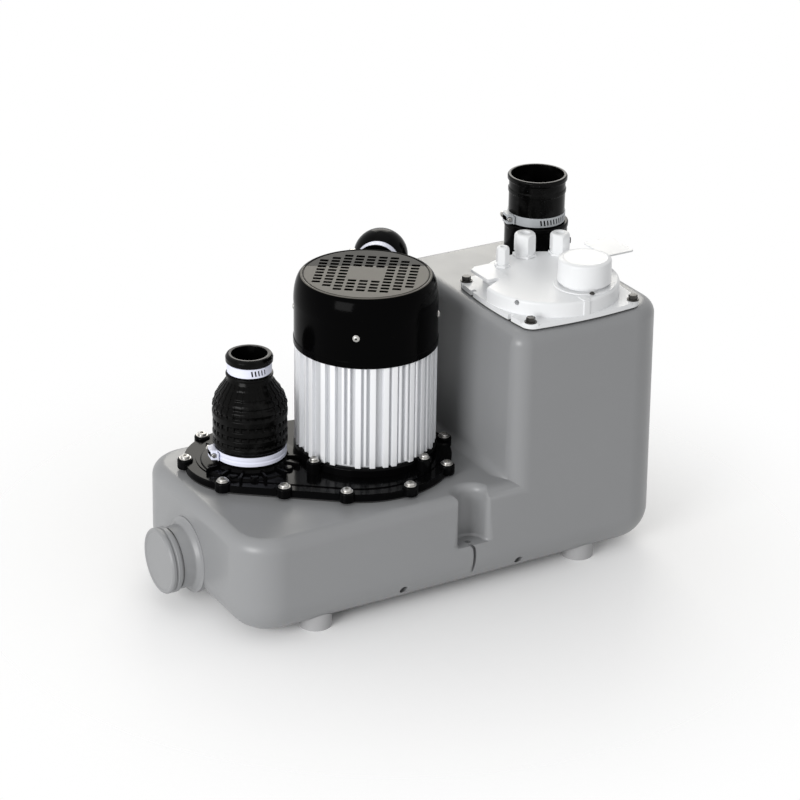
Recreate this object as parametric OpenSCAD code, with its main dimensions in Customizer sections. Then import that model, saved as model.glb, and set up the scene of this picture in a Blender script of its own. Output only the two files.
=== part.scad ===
// Floor-standing sewage pump: a two-level grey tank, a vertical motor over a bladed
// pump on the low deck, a rubber discharge boot with a non-return flap, three inlets
// and a white cover over the level switch.
// X runs along the tank, Y from the front face to the back, Z up from the floor.
// The origin is on the floor, below the middle of the whole outline.

/* [Tank] */
// Length of the tank
tank_len = 547; // [540:1:560]
// Depth of the tank from front to back
tank_wid = 278; // [276:1:290]
// Height of the low deck above the floor
low_top = 128; // [124:1:134]
// Height of the tall block above the floor
tall_top = 306; // [300:1:312]
// Length of the tall block
tall_len = 211; // [208:1:211]
// Plan radius of the tank's outer corners
corner_r = 50; // [42:1:56]
// Plan radius of the tall block's left corners
tall_edge_r = 24; // [18:1:30]
// Radius of the top edges
top_r = 15; // [10:1:18]
// Radius of the bottom edges
bottom_r = 40; // [30:1:44]
// Thickness of the tank wall
tank_wall = 5; // [4:0.5:6]
// Gap under the tank
ground_gap = 8; // [6:1:12]

/* [Feet] */
// Radius of a foot
foot_r = 18.5; // [16:0.5:20]
// Spacing of the feet along the tank
foot_pitch_x = 348; // [330:1:360]
// Spacing of the feet from front to back
foot_pitch_y = 218; // [200:1:220]

/* [Front notch] */
// Radius of the half-round notch in the front face
notch_r = 17; // [14:1:19]
// Distance of the notch left of the tall block
notch_from_tall = 51; // [48:0.5:54]
// Height of the notch's floor
notch_floor = 70; // [62:1:84]

/* [Deck] */
// Gap between the fan cowl and the tall block
motor_gap = 26.5; // [25:0.5:28]
// Distance of the motor axis behind the tank's middle
motor_y = 8; // [5:1:10]
// Distance of the discharge axis left of the motor axis
discharge_dx = 130; // [126:1:132]
// Distance of the discharge axis behind the motor axis
discharge_dy = 34; // [30:1:38]
// Radius of the deck plate's large end
deck_big_r = 107; // [102:1:108]
// Radius of the deck plate's small end
deck_small_r = 78; // [74:1:80]
// Thickness of the deck plate
deck_t = 9; // [8:0.5:11]
// Thickness of the deck gasket
gasket_t = 2; // [1.5:0.5:3]
// Width of the land where the deck plate rests on the tank
deck_land = 22; // [18:1:24]
// Radius of a deck screw's shank
deck_screw_r = 2.5; // [2:0.25:3]

/* [Motor] */
// Radius of the housing between the fins
housing_r = 75.5; // [74.5:0.5:76]
// Depth of the fins
fin_depth = 5.5; // [4:0.5:5.5]
// Number of fins
fin_count = 40; // [24:1:44]
// Thickness of a fin
fin_t = 3; // [2:0.5:3.5]
// Height of the fins
fin_h = 122.5; // [118:0.5:126]
// Distance that the fan cowl stands out beyond the fins
cowl_over = 1; // [0.5:0.5:3]
// Height of the fan cowl
cowl_h = 81; // [78:1:86]
// Height of the rounded shoulder of the cowl
cowl_shoulder = 30; // [24:1:34]
// Distance of the flat grille's edge inside the cowl's side
grille_inset = 9.5; // [8:0.5:12]
// Radius of the rotor shaft
shaft_r = 9; // [7:0.5:9]
// Running clearance around the shaft
shaft_gap = 0.05; // [0.02:0.01:0.1]
// Radius of the rotor core
rotor_r = 37; // [34:0.5:38]
// Air gap between the rotor and the stator
air_gap = 0.6; // [0.4:0.1:1]
// Height of the stator and rotor stacks
stack_h = 78; // [70:1:84]

/* [Pump] */
// Radius of the impeller
impeller_r = 53; // [48:1:54]
// Inside radius of the pump chamber
chamber_r = 58; // [56:1:59]
// Wall of the pump casing
casing_wall = 6; // [5:0.5:7]
// Number of impeller vanes
vane_count = 5; // [4:1:7]
// Inside radius of the discharge duct
duct_r = 17; // [15:0.5:19]

/* [Discharge boot] */
// Bore of the boot's mouth, where the pipe enters
boot_mouth_r = 20; // [18:0.5:21]
// Outside radius of the spigot that the boot fits on
spigot_r = 36.5; // [35:0.5:37]
// Height of the boot
boot_h = 131; // [128:1:134]
// Thickness of the valve flap
flap_t = 3; // [2:0.5:4]
// Radius of the valve flap
flap_r = 29; // [26:0.5:30]

/* [Inlets] */
// Distance of the top inlet from the tank's right end
inlet_from_end = 49.5; // [47.5:0.5:51.5]
// Distance of the top inlet behind the tank's middle
inlet_y = 79; // [78:1:84]
// Bore of the top inlet's mouth
inlet_bore_r = 31; // [29:0.5:31.5]
// Outside radius of the top inlet sleeve
inlet_sleeve_r = 33.2; // [33:0.1:34]
// Outside radius of the top inlet collar
inlet_collar_r = 38; // [37:0.5:39]
// Height of the top inlet's mouth above the tall block
inlet_rise = 97; // [90:1:104]
// Height of the side inlet's axis above the floor
side_z = 57; // [56:1:62]
// Distance of the side inlet behind the tank's middle
side_y = 10; // [4:1:16]
// Outside radius of the side inlet's spigot
side_r = 35.5; // [33:0.5:36]
// Length of the side inlet beyond the tank
side_len = 35.5; // [32:0.5:40]
// Distance of the rear inlet left of the tall block
riser_from_tall = 33.5; // [33.5:0.5:35]
// Distance of the rear inlet behind the tank's middle
riser_y = 107; // [106:0.5:107]
// Outside radius of the rear riser pipe
riser_r = 25; // [22:0.5:25]
// Height of the rear elbow's axis above the floor
elbow_z = 327; // [322:1:330]
// Outside radius of the rear elbow's bend
elbow_r = 31.7; // [30:0.1:31.8]

/* [Cover] */
// Distance of the cover's middle from the tank's right end
cover_from_end = 112.5; // [110.5:0.5:114.5]
// Distance of the cover's middle in front of the tank's middle
cover_y = 49; // [47:1:51]
// Half the width of the cover's square flange
cover_half = 77; // [75:1:79]
// Radius of the cover's round drum
drum_r = 80; // [77:1:80]
// Height of the drum above the flange
drum_h = 17; // [15:0.5:20]
// Half the spacing of the cover screws
cover_screw_half = 68.5; // [68:0.5:70]
// Radius of the white filter cap
cap_r = 30.5; // [28:0.5:31]
// Height of the white filter cap
cap_h = 28; // [24:1:32]
// Travel of the switch plunger
plunger_travel = 3; // [2:0.5:3]

/* [Hidden] */
$fn = 64;

// Small values shared by many pieces
seat_gap = 0.3;
cut = 1;
round_fn = 96;

// Tank
mid_x = side_len / 2;
tank_x0 = mid_x - tank_len / 2;
tank_x1 = mid_x + tank_len / 2;
half_wid = tank_wid / 2;
tall_x = tank_x1 - tall_len;
notch_x = tall_x - notch_from_tall;
boss_depth = 16;

// Deck, gasket and their outline
deck_z = low_top + gasket_t;
deck_top = deck_z + deck_t;
fin_r = housing_r + fin_depth;
cowl_r = fin_r + cowl_over;
grille_r = cowl_r - grille_inset;
motor_x = tall_x - motor_gap - cowl_r;
discharge_x = motor_x - discharge_dx;
discharge_y = motor_y + discharge_dy;
deck_cx = motor_x - 14;
deck_cy = motor_y - 9;
deck_dx = discharge_x + 6;
deck_dy = discharge_y + 6;
deck_lobe_r = 9;
deck_lobe_h = 3;
web_inset = 0.1;
deck_rib_turns = [-150, -100, -50, 20];
deck_dist = norm([deck_cx - deck_dx, deck_cy - deck_dy]);
deck_dir = atan2(deck_cy - deck_dy, deck_cx - deck_dx);
deck_lean = asin((deck_big_r - deck_small_r) / deck_dist);

// Heights up the motor
flange_t = 11;
housing_z = deck_top + flange_t;
fin_top = housing_z + fin_h;
cowl_z = fin_top + seat_gap;
cowl_top = cowl_z + cowl_h;
cowl_wall = 2.5;
housing_wall = 7.5;
housing_top = cowl_z + 29;
stack_z = housing_z + 22;
winding_h = 15;
bearing_h = 12;
lower_bearing_r = 19;
upper_bearing_r = 17;
shield_t = 15;
fan_z = housing_top + shield_t + 3;
fan_h = 18;
fan_r = cowl_r - 18;
shaft_top = fan_z + fan_h + 2;
cowl_screw_turn = -127;
grille_turn = -37;
grille_pitch = 13;
grille_row_pitch = 9;
grille_blank = 14;
flange_screw_r = fin_r + 7;
flange_screw_turn = -160;
flange_ear_r = 8.5;

// Heights down the pump
chamber_h = 34;
chamber_z = 52;
casing_floor = chamber_z - casing_wall;
impeller_disc_t = 6;
impeller_top = chamber_z + chamber_h - 3;
vane_h = 20;
eye_r = 27;
seal_h = 12;
seal_r = 16;
nut_h = 7;
shaft_bottom = impeller_top - impeller_disc_t - vane_h - nut_h;
seal_z = chamber_z + chamber_h + 14;
duct_z = chamber_z + 21;
strainer_h = 16;

// Discharge boot
boot_z = deck_top + 1;
boot_wall = 4;
socket_h = 33;
flap_z = deck_top + socket_h + 4;
flap_open = 62;
flap_pin_r = 1.8;
flap_pin_gap = 0.05;
flap_arm = 31;
flap_rise = 4.2;
lower_clamp_z = boot_z + 9;
upper_clamp_z = boot_z + boot_h - 21;
band_w = 11;
band_t = 0.9;
clamp_box = 22;
worm_r = 2.6;
worm_out = 4.6;
lower_worm_turn = 170;
upper_worm_turn = 90;

// Inlets
inlet_x = tank_x1 - inlet_from_end;
riser_x = tall_x - riser_from_tall;
inlet_mouth_z = tall_top + inlet_rise;
collar_h = 40;
neck_r = 29;
inlet_clamp_z = tall_top + collar_h + seat_gap;
side_x = tank_x0 - side_len;
side_cap_t = 13;
side_ring_t = 3;
inlet_worm_turn = 172;
socket_rise = 20;
riser_wall = 3;
riser_ring_h = 6;
elbow_turn = -128.3;
elbow_leg = 33.5;
elbow_skirt_top = elbow_z - 28;
riser_top = elbow_skirt_top - 5 - seat_gap;
elbow_skirt_h = 27;
rear_band_back = 13;
rear_worm_turn = -90;
elbow_mouth_r = 24.2;
elbow_wall = 4;
elbow_lip = 1.3;

// Cover and level switch
cover_x = tank_x1 - cover_from_end;
cover_cy = -cover_y;
cover_gasket_t = 1.5;
flange_z = tall_top + cover_gasket_t;
cover_flange_t = 6;
drum_z = flange_z + cover_flange_t;
drum_top = drum_z + drum_h;
cover_wall = 3;
cover_bulge_r = 86;
cover_cavity_r = 62;
cover_bite_x = 66;
cover_rib_x = -3;
opening_r = 64;
box_r = 61;
box_wall = 2.5;
box_h = 52;
box_floor = flange_z - box_h;
cap_x = cover_x + 23;
cap_y = cover_cy - 36;
cap_neck_h = 4;
cap_neck_r = cap_r - 1;
cap_screw_turn = -108;
cap_screw_out = cap_r + 3.4;
cap_z = drum_top + cap_neck_h;
tube_x = cover_x - 22;
tube_y = cover_cy + 6;
tube_r = 14;
dip_low = 40;
diaphragm_z = box_floor + box_wall;
plunger_z = diaphragm_z + 1 + seat_gap;
plunger_h = 14;
plunger_r = 6;
lever_z = plunger_z + plunger_h + seat_gap + 0.8;
lever_lift = 8;
board_z = diaphragm_z + 30;
lever_len = 24;
lever_pin_r = 1.2;

// Places of the deck screws: an angle and a distance from the big or small end's centre
big_screw_turns = [-126, -86, -48, -8, 32, 70];
small_screw_turns = [112, 160, -143];
front_edge_share = 0.43;
back_edge_share = 0.35;

// Places and sizes of the cable glands: x, y, hex radius, height
gland_places = [[cover_x + 10, cover_cy + 69, 13, 28],
    [cover_x + 49, cover_cy + 55, 12, 26],
    [cover_x - 30, cover_cy + 53, 8, 24]];

// Point on the deck plate's rim at a turn round its big or small end
function on_big(turn, r) = [deck_cx + r * cos(turn), deck_cy + r * sin(turn)];
function on_small(turn, r) = [deck_dx + r * cos(turn), deck_dy + r * sin(turn)];
function on_edge(side, share) =
    (1 - share) * on_small(deck_dir + side * (90 + deck_lean), deck_small_r - 1)
    + share * on_big(deck_dir + side * (90 + deck_lean), deck_big_r - 1);
function deck_points() = concat(
    [for (t = big_screw_turns) on_big(t, deck_big_r - 1)],
    [for (t = small_screw_turns) on_small(t, deck_small_r - 1)],
    [on_edge(-1, front_edge_share), on_edge(1, back_edge_share)]);
function cover_points() = [for (sx = [-1, 1], sy = [-1, 1])
    [cover_x + sx * cover_screw_half, cover_cy + sy * cover_screw_half]];
function flange_points() = [for (k = [0:3])
    [motor_x + flange_screw_r * cos(flange_screw_turn + 90 * k),
     motor_y + flange_screw_r * sin(flange_screw_turn + 90 * k)]];

// Places a child at each of a list of plan points
module at(points, z = 0) {
    for (p = points) translate([p[0], p[1], z]) children();
}

// Flat outline with two bottom and two top corner radii
module round_profile(x0, x1, y0, y1, r_low, r_high) {
    translate([x0 + r_low, y0 + r_low]) circle(r_low);
    translate([x1 - r_low, y0 + r_low]) circle(r_low);
    translate([x0 + r_high, y1 - r_high]) circle(r_high);
    translate([x1 - r_high, y1 - r_high]) circle(r_high);
    translate([x0 + r_low, y0]) square([x1 - x0 - 2 * r_low, r_low + cut]);
    translate([x0, y0 + r_low]) square([x1 - x0, y1 - y0 - r_low - r_high]);
    translate([x0 + r_high, y1 - r_high - cut]) square([x1 - x0 - 2 * r_high, r_high + cut]);
}

// Plan outline with separate radii on the left and right corners
module plan_profile(x0, x1, half, r_left, r_right) {
    for (s = [-1, 1]) {
        translate([x0 + r_left, s * (half - r_left)]) circle(r_left);
        translate([x1 - r_right, s * (half - r_right)]) circle(r_right);
    }
    translate([x0 + r_left, -half]) square([x1 - x0 - r_left - r_right, 2 * half]);
    translate([x0, -half + r_left]) square([r_left + cut, 2 * (half - r_left)]);
    translate([x1 - r_right - cut, -half + r_right])
        square([r_right + cut, 2 * (half - r_right)]);
}

// Block rounded in plan, in front view and in side view
module rounded_block(x0, x1, half, z0, z1, r_left, r_right, r_low, r_high) {
    intersection() {
        translate([0, 0, z0]) linear_extrude(z1 - z0)
            plan_profile(x0, x1, half, r_left, r_right);
        translate([0, half, 0]) rotate([90, 0, 0]) linear_extrude(2 * half)
            round_profile(x0, x1, z0, z1, r_low, r_high);
        translate([x0, 0, 0]) rotate([90, 0, 90]) linear_extrude(x1 - x0)
            round_profile(-half, half, z0, z1, r_low, r_high);
    }
}

// Both levels of the tank, drawn in by a margin
module tank_body(m) {
    rounded_block(tank_x0 + m, tank_x1 - m, half_wid - m, ground_gap + m, low_top - m,
        corner_r - m, corner_r - m, bottom_r - m, top_r - m);
    rounded_block(tall_x + m, tank_x1 - m, half_wid - m, ground_gap + m, tall_top - m,
        tall_edge_r - m, corner_r - m, bottom_r - m, top_r - m);
}

// Pear-shaped outline of the deck, drawn in by a margin
module deck_outline(m) {
    big = deck_big_r - m;
    small = deck_small_r - m;
    translate([deck_cx, deck_cy]) circle(big);
    translate([deck_dx, deck_dy]) circle(small);
    near = small - web_inset;
    far = big - web_inset;
    translate([deck_dx, deck_dy]) rotate(deck_dir)
        polygon([[-near * sin(deck_lean), near * cos(deck_lean)],
            [deck_dist - far * sin(deck_lean), far * cos(deck_lean)],
            [deck_dist - far * sin(deck_lean), -far * cos(deck_lean)],
            [-near * sin(deck_lean), -near * cos(deck_lean)]]);
}

// Round tube standing on a plan point
module tube(r_out, r_in, z0, z1) {
    difference() {
        translate([0, 0, z0]) cylinder(r = r_out, h = z1 - z0, $fn = round_fn);
        translate([0, 0, z0 - cut]) cylinder(r = r_in, h = z1 - z0 + 2 * cut, $fn = round_fn);
    }
}

// Solid of revolution from pairs of radius and height
module turned(points) {
    rotate_extrude($fn = round_fn) polygon(points);
}

module tank() {
    color([0.56, 0.57, 0.58]) difference() {
        union() {
            difference() {
                tank_body(0);
                difference() {
                    tank_body(tank_wall);
                    notch_space(tank_wall);
                    at(deck_points(), low_top - boss_depth - 3)
                        cylinder(r = 7.5, h = boss_depth + 3);
                    at(cover_points(), tall_top - boss_depth - 3)
                        cylinder(r = 7.5, h = boss_depth + 3);
                }
            }
            side_spigot();
            translate([riser_x, riser_y, low_top - tank_wall])
                cylinder(r = riser_r + 5, h = socket_rise + tank_wall, $fn = round_fn);
            translate([inlet_x, inlet_y, 0]) tube(inlet_collar_r - 5, neck_r - 3,
                tall_top - 18, tall_top);
        }
        notch_space(0);
        translate([side_x - cut, side_y, side_z]) rotate([0, 90, 0])
            cylinder(r = side_r - 4, h = side_len + tank_wall + 2 * cut, $fn = round_fn);
        translate([0, 0, low_top - tank_wall - cut]) linear_extrude(tank_wall + 2 * cut)
            deck_outline(deck_land);
        translate([cover_x, cover_cy, tall_top - tank_wall - cut])
            cylinder(r = opening_r, h = tank_wall + 2 * cut, $fn = round_fn);
        translate([inlet_x, inlet_y, tall_top - 18 - cut])
            cylinder(r = neck_r - 3, h = 18 + 2 * cut, $fn = round_fn);
        translate([riser_x, riser_y, low_top - tank_wall - cut])
            cylinder(r = riser_r + seat_gap, h = tank_wall + socket_rise + 2 * cut,
                $fn = round_fn);
        translate([riser_x, riser_y, low_top - top_r])
            cylinder(r = riser_r + seat_gap, h = top_r, $fn = round_fn);
        at(deck_points(), low_top - boss_depth) cylinder(r = deck_screw_r, h = boss_depth + cut);
        at(cover_points(), tall_top - boss_depth) cylinder(r = deck_screw_r, h = boss_depth + cut);
    }
}

// Half-round notch in the front face, grown by a margin
module notch_space(m) {
    translate([notch_x, -half_wid, notch_floor - m])
        cylinder(r = notch_r + m, h = low_top - notch_floor + m + cut, $fn = round_fn);
}

// Spigot of the side inlet with its root collar
module side_spigot() {
    stub = side_len - side_cap_t - side_ring_t;
    translate([tank_x0 - stub, side_y, side_z]) rotate([0, 90, 0])
        cylinder(r = side_r, h = stub + tank_wall, $fn = round_fn);
    translate([tank_x0 - 3, side_y, side_z]) rotate([0, 90, 0])
        cylinder(r = side_r + 4.5, h = 3 + tank_wall, $fn = round_fn);
}

// Feet, cut to the tank's rounded underside
module feet() {
    color([0.5, 0.51, 0.52]) difference() {
        for (sx = [-1, 1], sy = [-1, 1])
            translate([mid_x + sx * foot_pitch_x / 2, sy * foot_pitch_y / 2, 0])
                cylinder(r = foot_r, h = ground_gap + bottom_r / 2);
        tank_body(0);
    }
}

// Cap that closes the side inlet, with a plug inside the spigot
module side_inlet_cap() {
    r = side_r + 2.3;
    color([0.58, 0.59, 0.6]) translate([side_x, side_y, side_z]) rotate([0, 90, 0])
        turned([[0, 0], [r - 3, 0], [r - 1, 1], [r, 3], [r, side_cap_t],
            [side_r - 4 - seat_gap, side_cap_t], [side_r - 4 - seat_gap, side_cap_t + 12],
            [side_r - 8, side_cap_t + 12], [side_r - 8, 4], [0, 4]]);
}

// Sealing ring between the cap and the spigot
module side_cap_ring() {
    color([0.25, 0.26, 0.27]) translate([0, side_y, side_z]) rotate([0, 90, 0])
        tube(side_r - 1.5, side_r - 4, side_x + side_cap_t,
            side_x + side_cap_t + side_ring_t);
}

module deck_gasket() {
    color([0.12, 0.12, 0.12]) translate([0, 0, low_top]) difference() {
        linear_extrude(gasket_t) deck_outline(0.5);
        translate([0, 0, -cut]) linear_extrude(gasket_t + 2 * cut) deck_outline(deck_land);
        at(deck_points(), -cut) cylinder(r = deck_screw_r + 0.5, h = gasket_t + 2 * cut);
    }
}

// Black plate that carries the motor, the pump casing and the discharge spigot
module deck_plate() {
    color([0.07, 0.07, 0.075]) difference() {
        union() {
            translate([0, 0, deck_z]) linear_extrude(deck_t) deck_outline(0);
            at(deck_points(), deck_z) cylinder(r = deck_lobe_r, h = deck_t + deck_lobe_h);
            at(flange_points(), deck_z) cylinder(r = flange_ear_r, h = deck_t);
            translate([discharge_x, discharge_y, 0]) tube(spigot_r, spigot_r - 4,
                deck_top - cut, deck_top + socket_h);
            for (turn = deck_rib_turns) translate([discharge_x, discharge_y, deck_top - cut])
                rotate(turn) translate([spigot_r + boot_wall + 3, -1.5, 0])
                    cube([18, 3, 7 + cut]);
        }
        translate([discharge_x, discharge_y, deck_z - cut])
            cylinder(r = duct_r, h = deck_t + 2 * cut, $fn = round_fn);
        translate([motor_x, motor_y, deck_z - cut])
            cylinder(r = seal_r + 6, h = deck_t + 2 * cut, $fn = round_fn);
        at(deck_points(), deck_z - cut)
            cylinder(r = deck_screw_r + 0.5, h = deck_t + deck_lobe_h + 2 * cut);
        at(flange_points(), deck_z + 1) cylinder(r = deck_screw_r, h = deck_t + cut);
        translate([motor_x, motor_y, deck_top])
            cylinder(r = fin_r + 1 + seat_gap, h = deck_lobe_h + cut, $fn = round_fn);
    }
}

// Round-headed screw with a washer, standing head up on its seat
module headed_screw(shank_r, length, head_r, head_h) {
    translate([0, 0, -length]) cylinder(r = shank_r, h = length + cut);
    cylinder(r = head_r * 1.28, h = 1.2);
    difference() {
        translate([0, 0, 1]) cylinder(r = head_r, h = head_h);
        translate([0, 0, head_h - 1]) cylinder(r = head_r * 0.45, h = 3, $fn = 6);
    }
}

module deck_screws() {
    color([0.72, 0.73, 0.75]) at(deck_points(), deck_top + deck_lobe_h)
        headed_screw(deck_screw_r, deck_t + deck_lobe_h + gasket_t + 12, 5.2, 3.8);
}

// Pump casing with its chamber, shaft neck and the duct to the discharge
module volute_casing() {
    far = [discharge_x, discharge_y, duct_z];
    run = norm([discharge_x - motor_x, discharge_y - motor_y]);
    turn = atan2(discharge_y - motor_y, discharge_x - motor_x);
    color([0.2, 0.21, 0.22]) difference() {
        union() {
            translate([motor_x, motor_y, casing_floor]) {
                cylinder(r = chamber_r + casing_wall, h = chamber_h + 2 * casing_wall,
                    $fn = round_fn);
                cylinder(r = seal_r + 14, h = deck_z - casing_floor, $fn = round_fn);
            }
            translate([motor_x, motor_y, duct_z]) rotate(turn) rotate([0, 90, 0])
                cylinder(r = duct_r + 4, h = run);
            translate(far) sphere(duct_r + 4);
            translate(far) cylinder(r = duct_r + 4, h = deck_z - duct_z);
        }
        translate([motor_x, motor_y, chamber_z])
            cylinder(r = chamber_r, h = chamber_h, $fn = round_fn);
        translate([motor_x, motor_y, casing_floor - cut])
            cylinder(r = eye_r, h = casing_wall + 2 * cut, $fn = round_fn);
        translate([motor_x, motor_y, chamber_z + chamber_h - cut])
            cylinder(r = shaft_r + 1, h = deck_z, $fn = round_fn);
        translate([motor_x, motor_y, seal_z])
            cylinder(r = seal_r, h = deck_z - seal_z + cut, $fn = round_fn);
        translate([motor_x, motor_y, duct_z]) rotate(turn) rotate([0, 90, 0])
            translate([0, 0, chamber_r - 6]) cylinder(r = duct_r, h = run - chamber_r + 6);
        translate(far) sphere(duct_r);
        translate(far) cylinder(r = duct_r, h = deck_z - duct_z + cut);
    }
}

// Slotted strainer under the pump's eye
module suction_grille() {
    slot_turn = 360 / 12;
    color([0.25, 0.26, 0.27]) translate([motor_x, motor_y, casing_floor - strainer_h])
        difference() {
            cylinder(r = eye_r + 12, h = strainer_h, $fn = round_fn);
            translate([0, 0, 3]) cylinder(r = eye_r + 8, h = strainer_h, $fn = round_fn);
            for (k = [0:11]) rotate(k * slot_turn) translate([eye_r, -3, 5])
                cube([20, 6, strainer_h - 9]);
        }
}

// Open impeller: a back disc, a hub and curved vanes below it
module impeller() {
    vane_z = impeller_top - impeller_disc_t - vane_h;
    color([0.35, 0.36, 0.38]) translate([motor_x, motor_y, 0]) difference() {
        union() {
            translate([0, 0, impeller_top - impeller_disc_t])
                cylinder(r = impeller_r, h = impeller_disc_t, $fn = round_fn);
            translate([0, 0, vane_z]) cylinder(r = shaft_r + 7, h = vane_h + cut);
            for (k = [0:vane_count - 1]) rotate(k * 360 / vane_count)
                translate([shaft_r + 4, 0, vane_z]) rotate(24)
                    cube([impeller_r * 0.72, 4, vane_h + cut]);
        }
        translate([0, 0, vane_z - cut]) cylinder(r = shaft_r, h = 60, $fn = round_fn);
    }
}

module impeller_nut() {
    color([0.7, 0.71, 0.73]) translate([motor_x, motor_y, shaft_bottom]) difference() {
        cylinder(r = 12, h = nut_h, $fn = 6);
        translate([0, 0, -cut])
            cylinder(r = shaft_r - 3, h = nut_h + 2 * cut, $fn = round_fn);
    }
}

module rotor_shaft() {
    color([0.75, 0.76, 0.78]) translate([motor_x, motor_y, 0])
        turned([[0, shaft_bottom], [shaft_r - 3, shaft_bottom],
            [shaft_r - 3, shaft_bottom + nut_h], [shaft_r, shaft_bottom + nut_h],
            [shaft_r, shaft_top - 1], [shaft_r - 1, shaft_top], [0, shaft_top]]);
}

module rotor_core() {
    color([0.55, 0.55, 0.57]) translate([motor_x, motor_y, 0])
        tube(rotor_r, shaft_r, stack_z, stack_z + stack_h);
}

module stator_core() {
    color([0.45, 0.46, 0.5]) translate([motor_x, motor_y, 0])
        tube(housing_r - housing_wall, rotor_r + air_gap, stack_z, stack_z + stack_h);
}

module stator_windings() {
    color([0.72, 0.4, 0.18]) translate([motor_x, motor_y, 0])
        for (z = [stack_z - winding_h, stack_z + stack_h])
            tube(rotor_r + 23, rotor_r + 7, z, z + winding_h);
}

// Ball bearing: two races with balls between them
module bearing(r_out, z) {
    mid = (r_out + shaft_r) / 2;
    translate([motor_x, motor_y, 0]) {
        tube(r_out, mid + 2, z, z + bearing_h);
        tube(mid - 2, shaft_r + shaft_gap, z, z + bearing_h);
        tube(mid + 2.05, mid - 2.05, z + 4.5, z + bearing_h - 4.5);
    }
}

module lower_bearing() {
    color([0.8, 0.81, 0.83]) bearing(lower_bearing_r, deck_top + 3);
}

module upper_bearing() {
    color([0.8, 0.81, 0.83]) bearing(upper_bearing_r, housing_top);
}

module shaft_seal() {
    color([0.1, 0.1, 0.1]) translate([motor_x, motor_y, 0])
        tube(seal_r - shaft_gap, shaft_r + shaft_gap, seal_z + shaft_gap, seal_z + seal_h);
}

// Lower end shield of the motor with four screw ears
module motor_flange() {
    boss_top = deck_top + 3 + bearing_h + 1;
    color([0.08, 0.08, 0.085]) difference() {
        union() {
            translate([motor_x, motor_y, deck_top]) {
                cylinder(r = fin_r + 1, h = flange_t, $fn = round_fn);
                cylinder(r = lower_bearing_r + 6, h = boss_top - deck_top, $fn = round_fn);
            }
            at(flange_points(), deck_top) cylinder(r = flange_ear_r, h = flange_t);
        }
        translate([motor_x, motor_y, deck_top - cut])
            cylinder(r = shaft_r + 2, h = flange_t, $fn = round_fn);
        translate([motor_x, motor_y, deck_top + 3])
            cylinder(r = lower_bearing_r, h = bearing_h + 2 + cut, $fn = round_fn);
        at(flange_points(), deck_top - cut) cylinder(r = deck_screw_r + 0.5, h = flange_t + 2 * cut);
    }
}

module flange_screws() {
    color([0.72, 0.73, 0.75]) at(flange_points(), housing_z)
        headed_screw(deck_screw_r, flange_t + deck_t - 2, 4.6, 5);
}

// Finned aluminium body of the motor
module motor_housing() {
    color([0.86, 0.87, 0.88]) translate([motor_x, motor_y, 0]) difference() {
        union() {
            translate([0, 0, housing_z]) cylinder(r = housing_r, h = housing_top - housing_z,
                $fn = round_fn);
            translate([0, 0, housing_z]) linear_extrude(fin_h) fins();
        }
        translate([0, 0, housing_z - cut])
            cylinder(r = housing_r - housing_wall, h = housing_top - housing_z + 2 * cut,
                $fn = round_fn);
    }
}

// Plan of the fins: every fifth one is a wide, lower screw-boss fin
module fins() {
    for (k = [0:fin_count - 1]) rotate(k * 360 / fin_count) {
        wide = k % 5 == 0;
        w = wide ? 2.2 * fin_t : fin_t;
        reach = wide ? fin_r - 1.5 : fin_r;
        translate([housing_r - 2, -w / 2]) square([sqrt(reach * reach - w * w / 4)
            - housing_r + 2, w]);
    }
}

module upper_end_shield() {
    color([0.6, 0.61, 0.63]) translate([motor_x, motor_y, housing_top]) difference() {
        union() {
            cylinder(r = housing_r, h = shield_t, $fn = round_fn);
            for (k = [0:3]) rotate(cowl_screw_turn + 90 * k) translate([0, -6, 0])
                cube([cowl_r - cowl_wall - seat_gap, 12, shield_t]);
        }
        translate([0, 0, -cut]) cylinder(r = upper_bearing_r, h = bearing_h + cut,
            $fn = round_fn);
        translate([0, 0, -cut]) cylinder(r = shaft_r + 1, h = shield_t + 2 * cut);
        for (k = [0:3]) rotate(cowl_screw_turn + 90 * k) translate([cowl_r - 12, 0, shield_t / 2])
            rotate([0, 90, 0]) cylinder(r = 1.8, h = 14);
    }
}

module cooling_fan() {
    color([0.15, 0.15, 0.16]) translate([motor_x, motor_y, fan_z]) difference() {
        union() {
            cylinder(r = fan_r, h = 2.5, $fn = round_fn);
            cylinder(r = shaft_r + 6, h = fan_h);
            for (k = [0:7]) rotate(k * 45) translate([shaft_r + 4, -1.25, 0])
                cube([fan_r - shaft_r - 6, 2.5, fan_h]);
        }
        translate([0, 0, -cut]) cylinder(r = shaft_r, h = fan_h + 2 * cut, $fn = round_fn);
    }
}

// Cowl profile from its rim to the grille, drawn in by a margin
function cowl_curve(m) = concat([[cowl_r - m, -m]],
    [for (t = [0:15:90]) [grille_r - m / 2 + (cowl_r - grille_r - m / 2) * cos(t),
        cowl_h - cowl_shoulder + (cowl_shoulder - m) * sin(t)]],
    [[0, cowl_h - m], [0, -m]]);

module fan_cowl() {
    color([0.05, 0.05, 0.055]) translate([motor_x, motor_y, cowl_z]) difference() {
        turned(cowl_curve(0));
        turned(cowl_curve(cowl_wall));
        rotate(grille_turn) grille_slots();
        for (k = [0:3]) rotate(cowl_screw_turn + 90 * k)
            translate([cowl_r - 6, 0, housing_top + shield_t / 2 - cowl_z])
                rotate([0, 90, 0]) cylinder(r = 2, h = 10);
    }
}

// Slots of the grille: nine columns around a blank rectangle in the middle
module grille_slots() {
    for (i = [-4:4], j = [-6:5]) {
        u = i * grille_pitch;
        v = (j + 0.5) * grille_row_pitch;
        blank = abs(i) < 2 && abs(v) < grille_blank;
        if (!blank && norm([u, v]) < grille_r - 10)
            translate([u - 4.8, v - 3, cowl_h - cowl_wall - cut])
                cube([9.6, 6, cowl_wall + 2 * cut]);
    }
}

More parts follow.
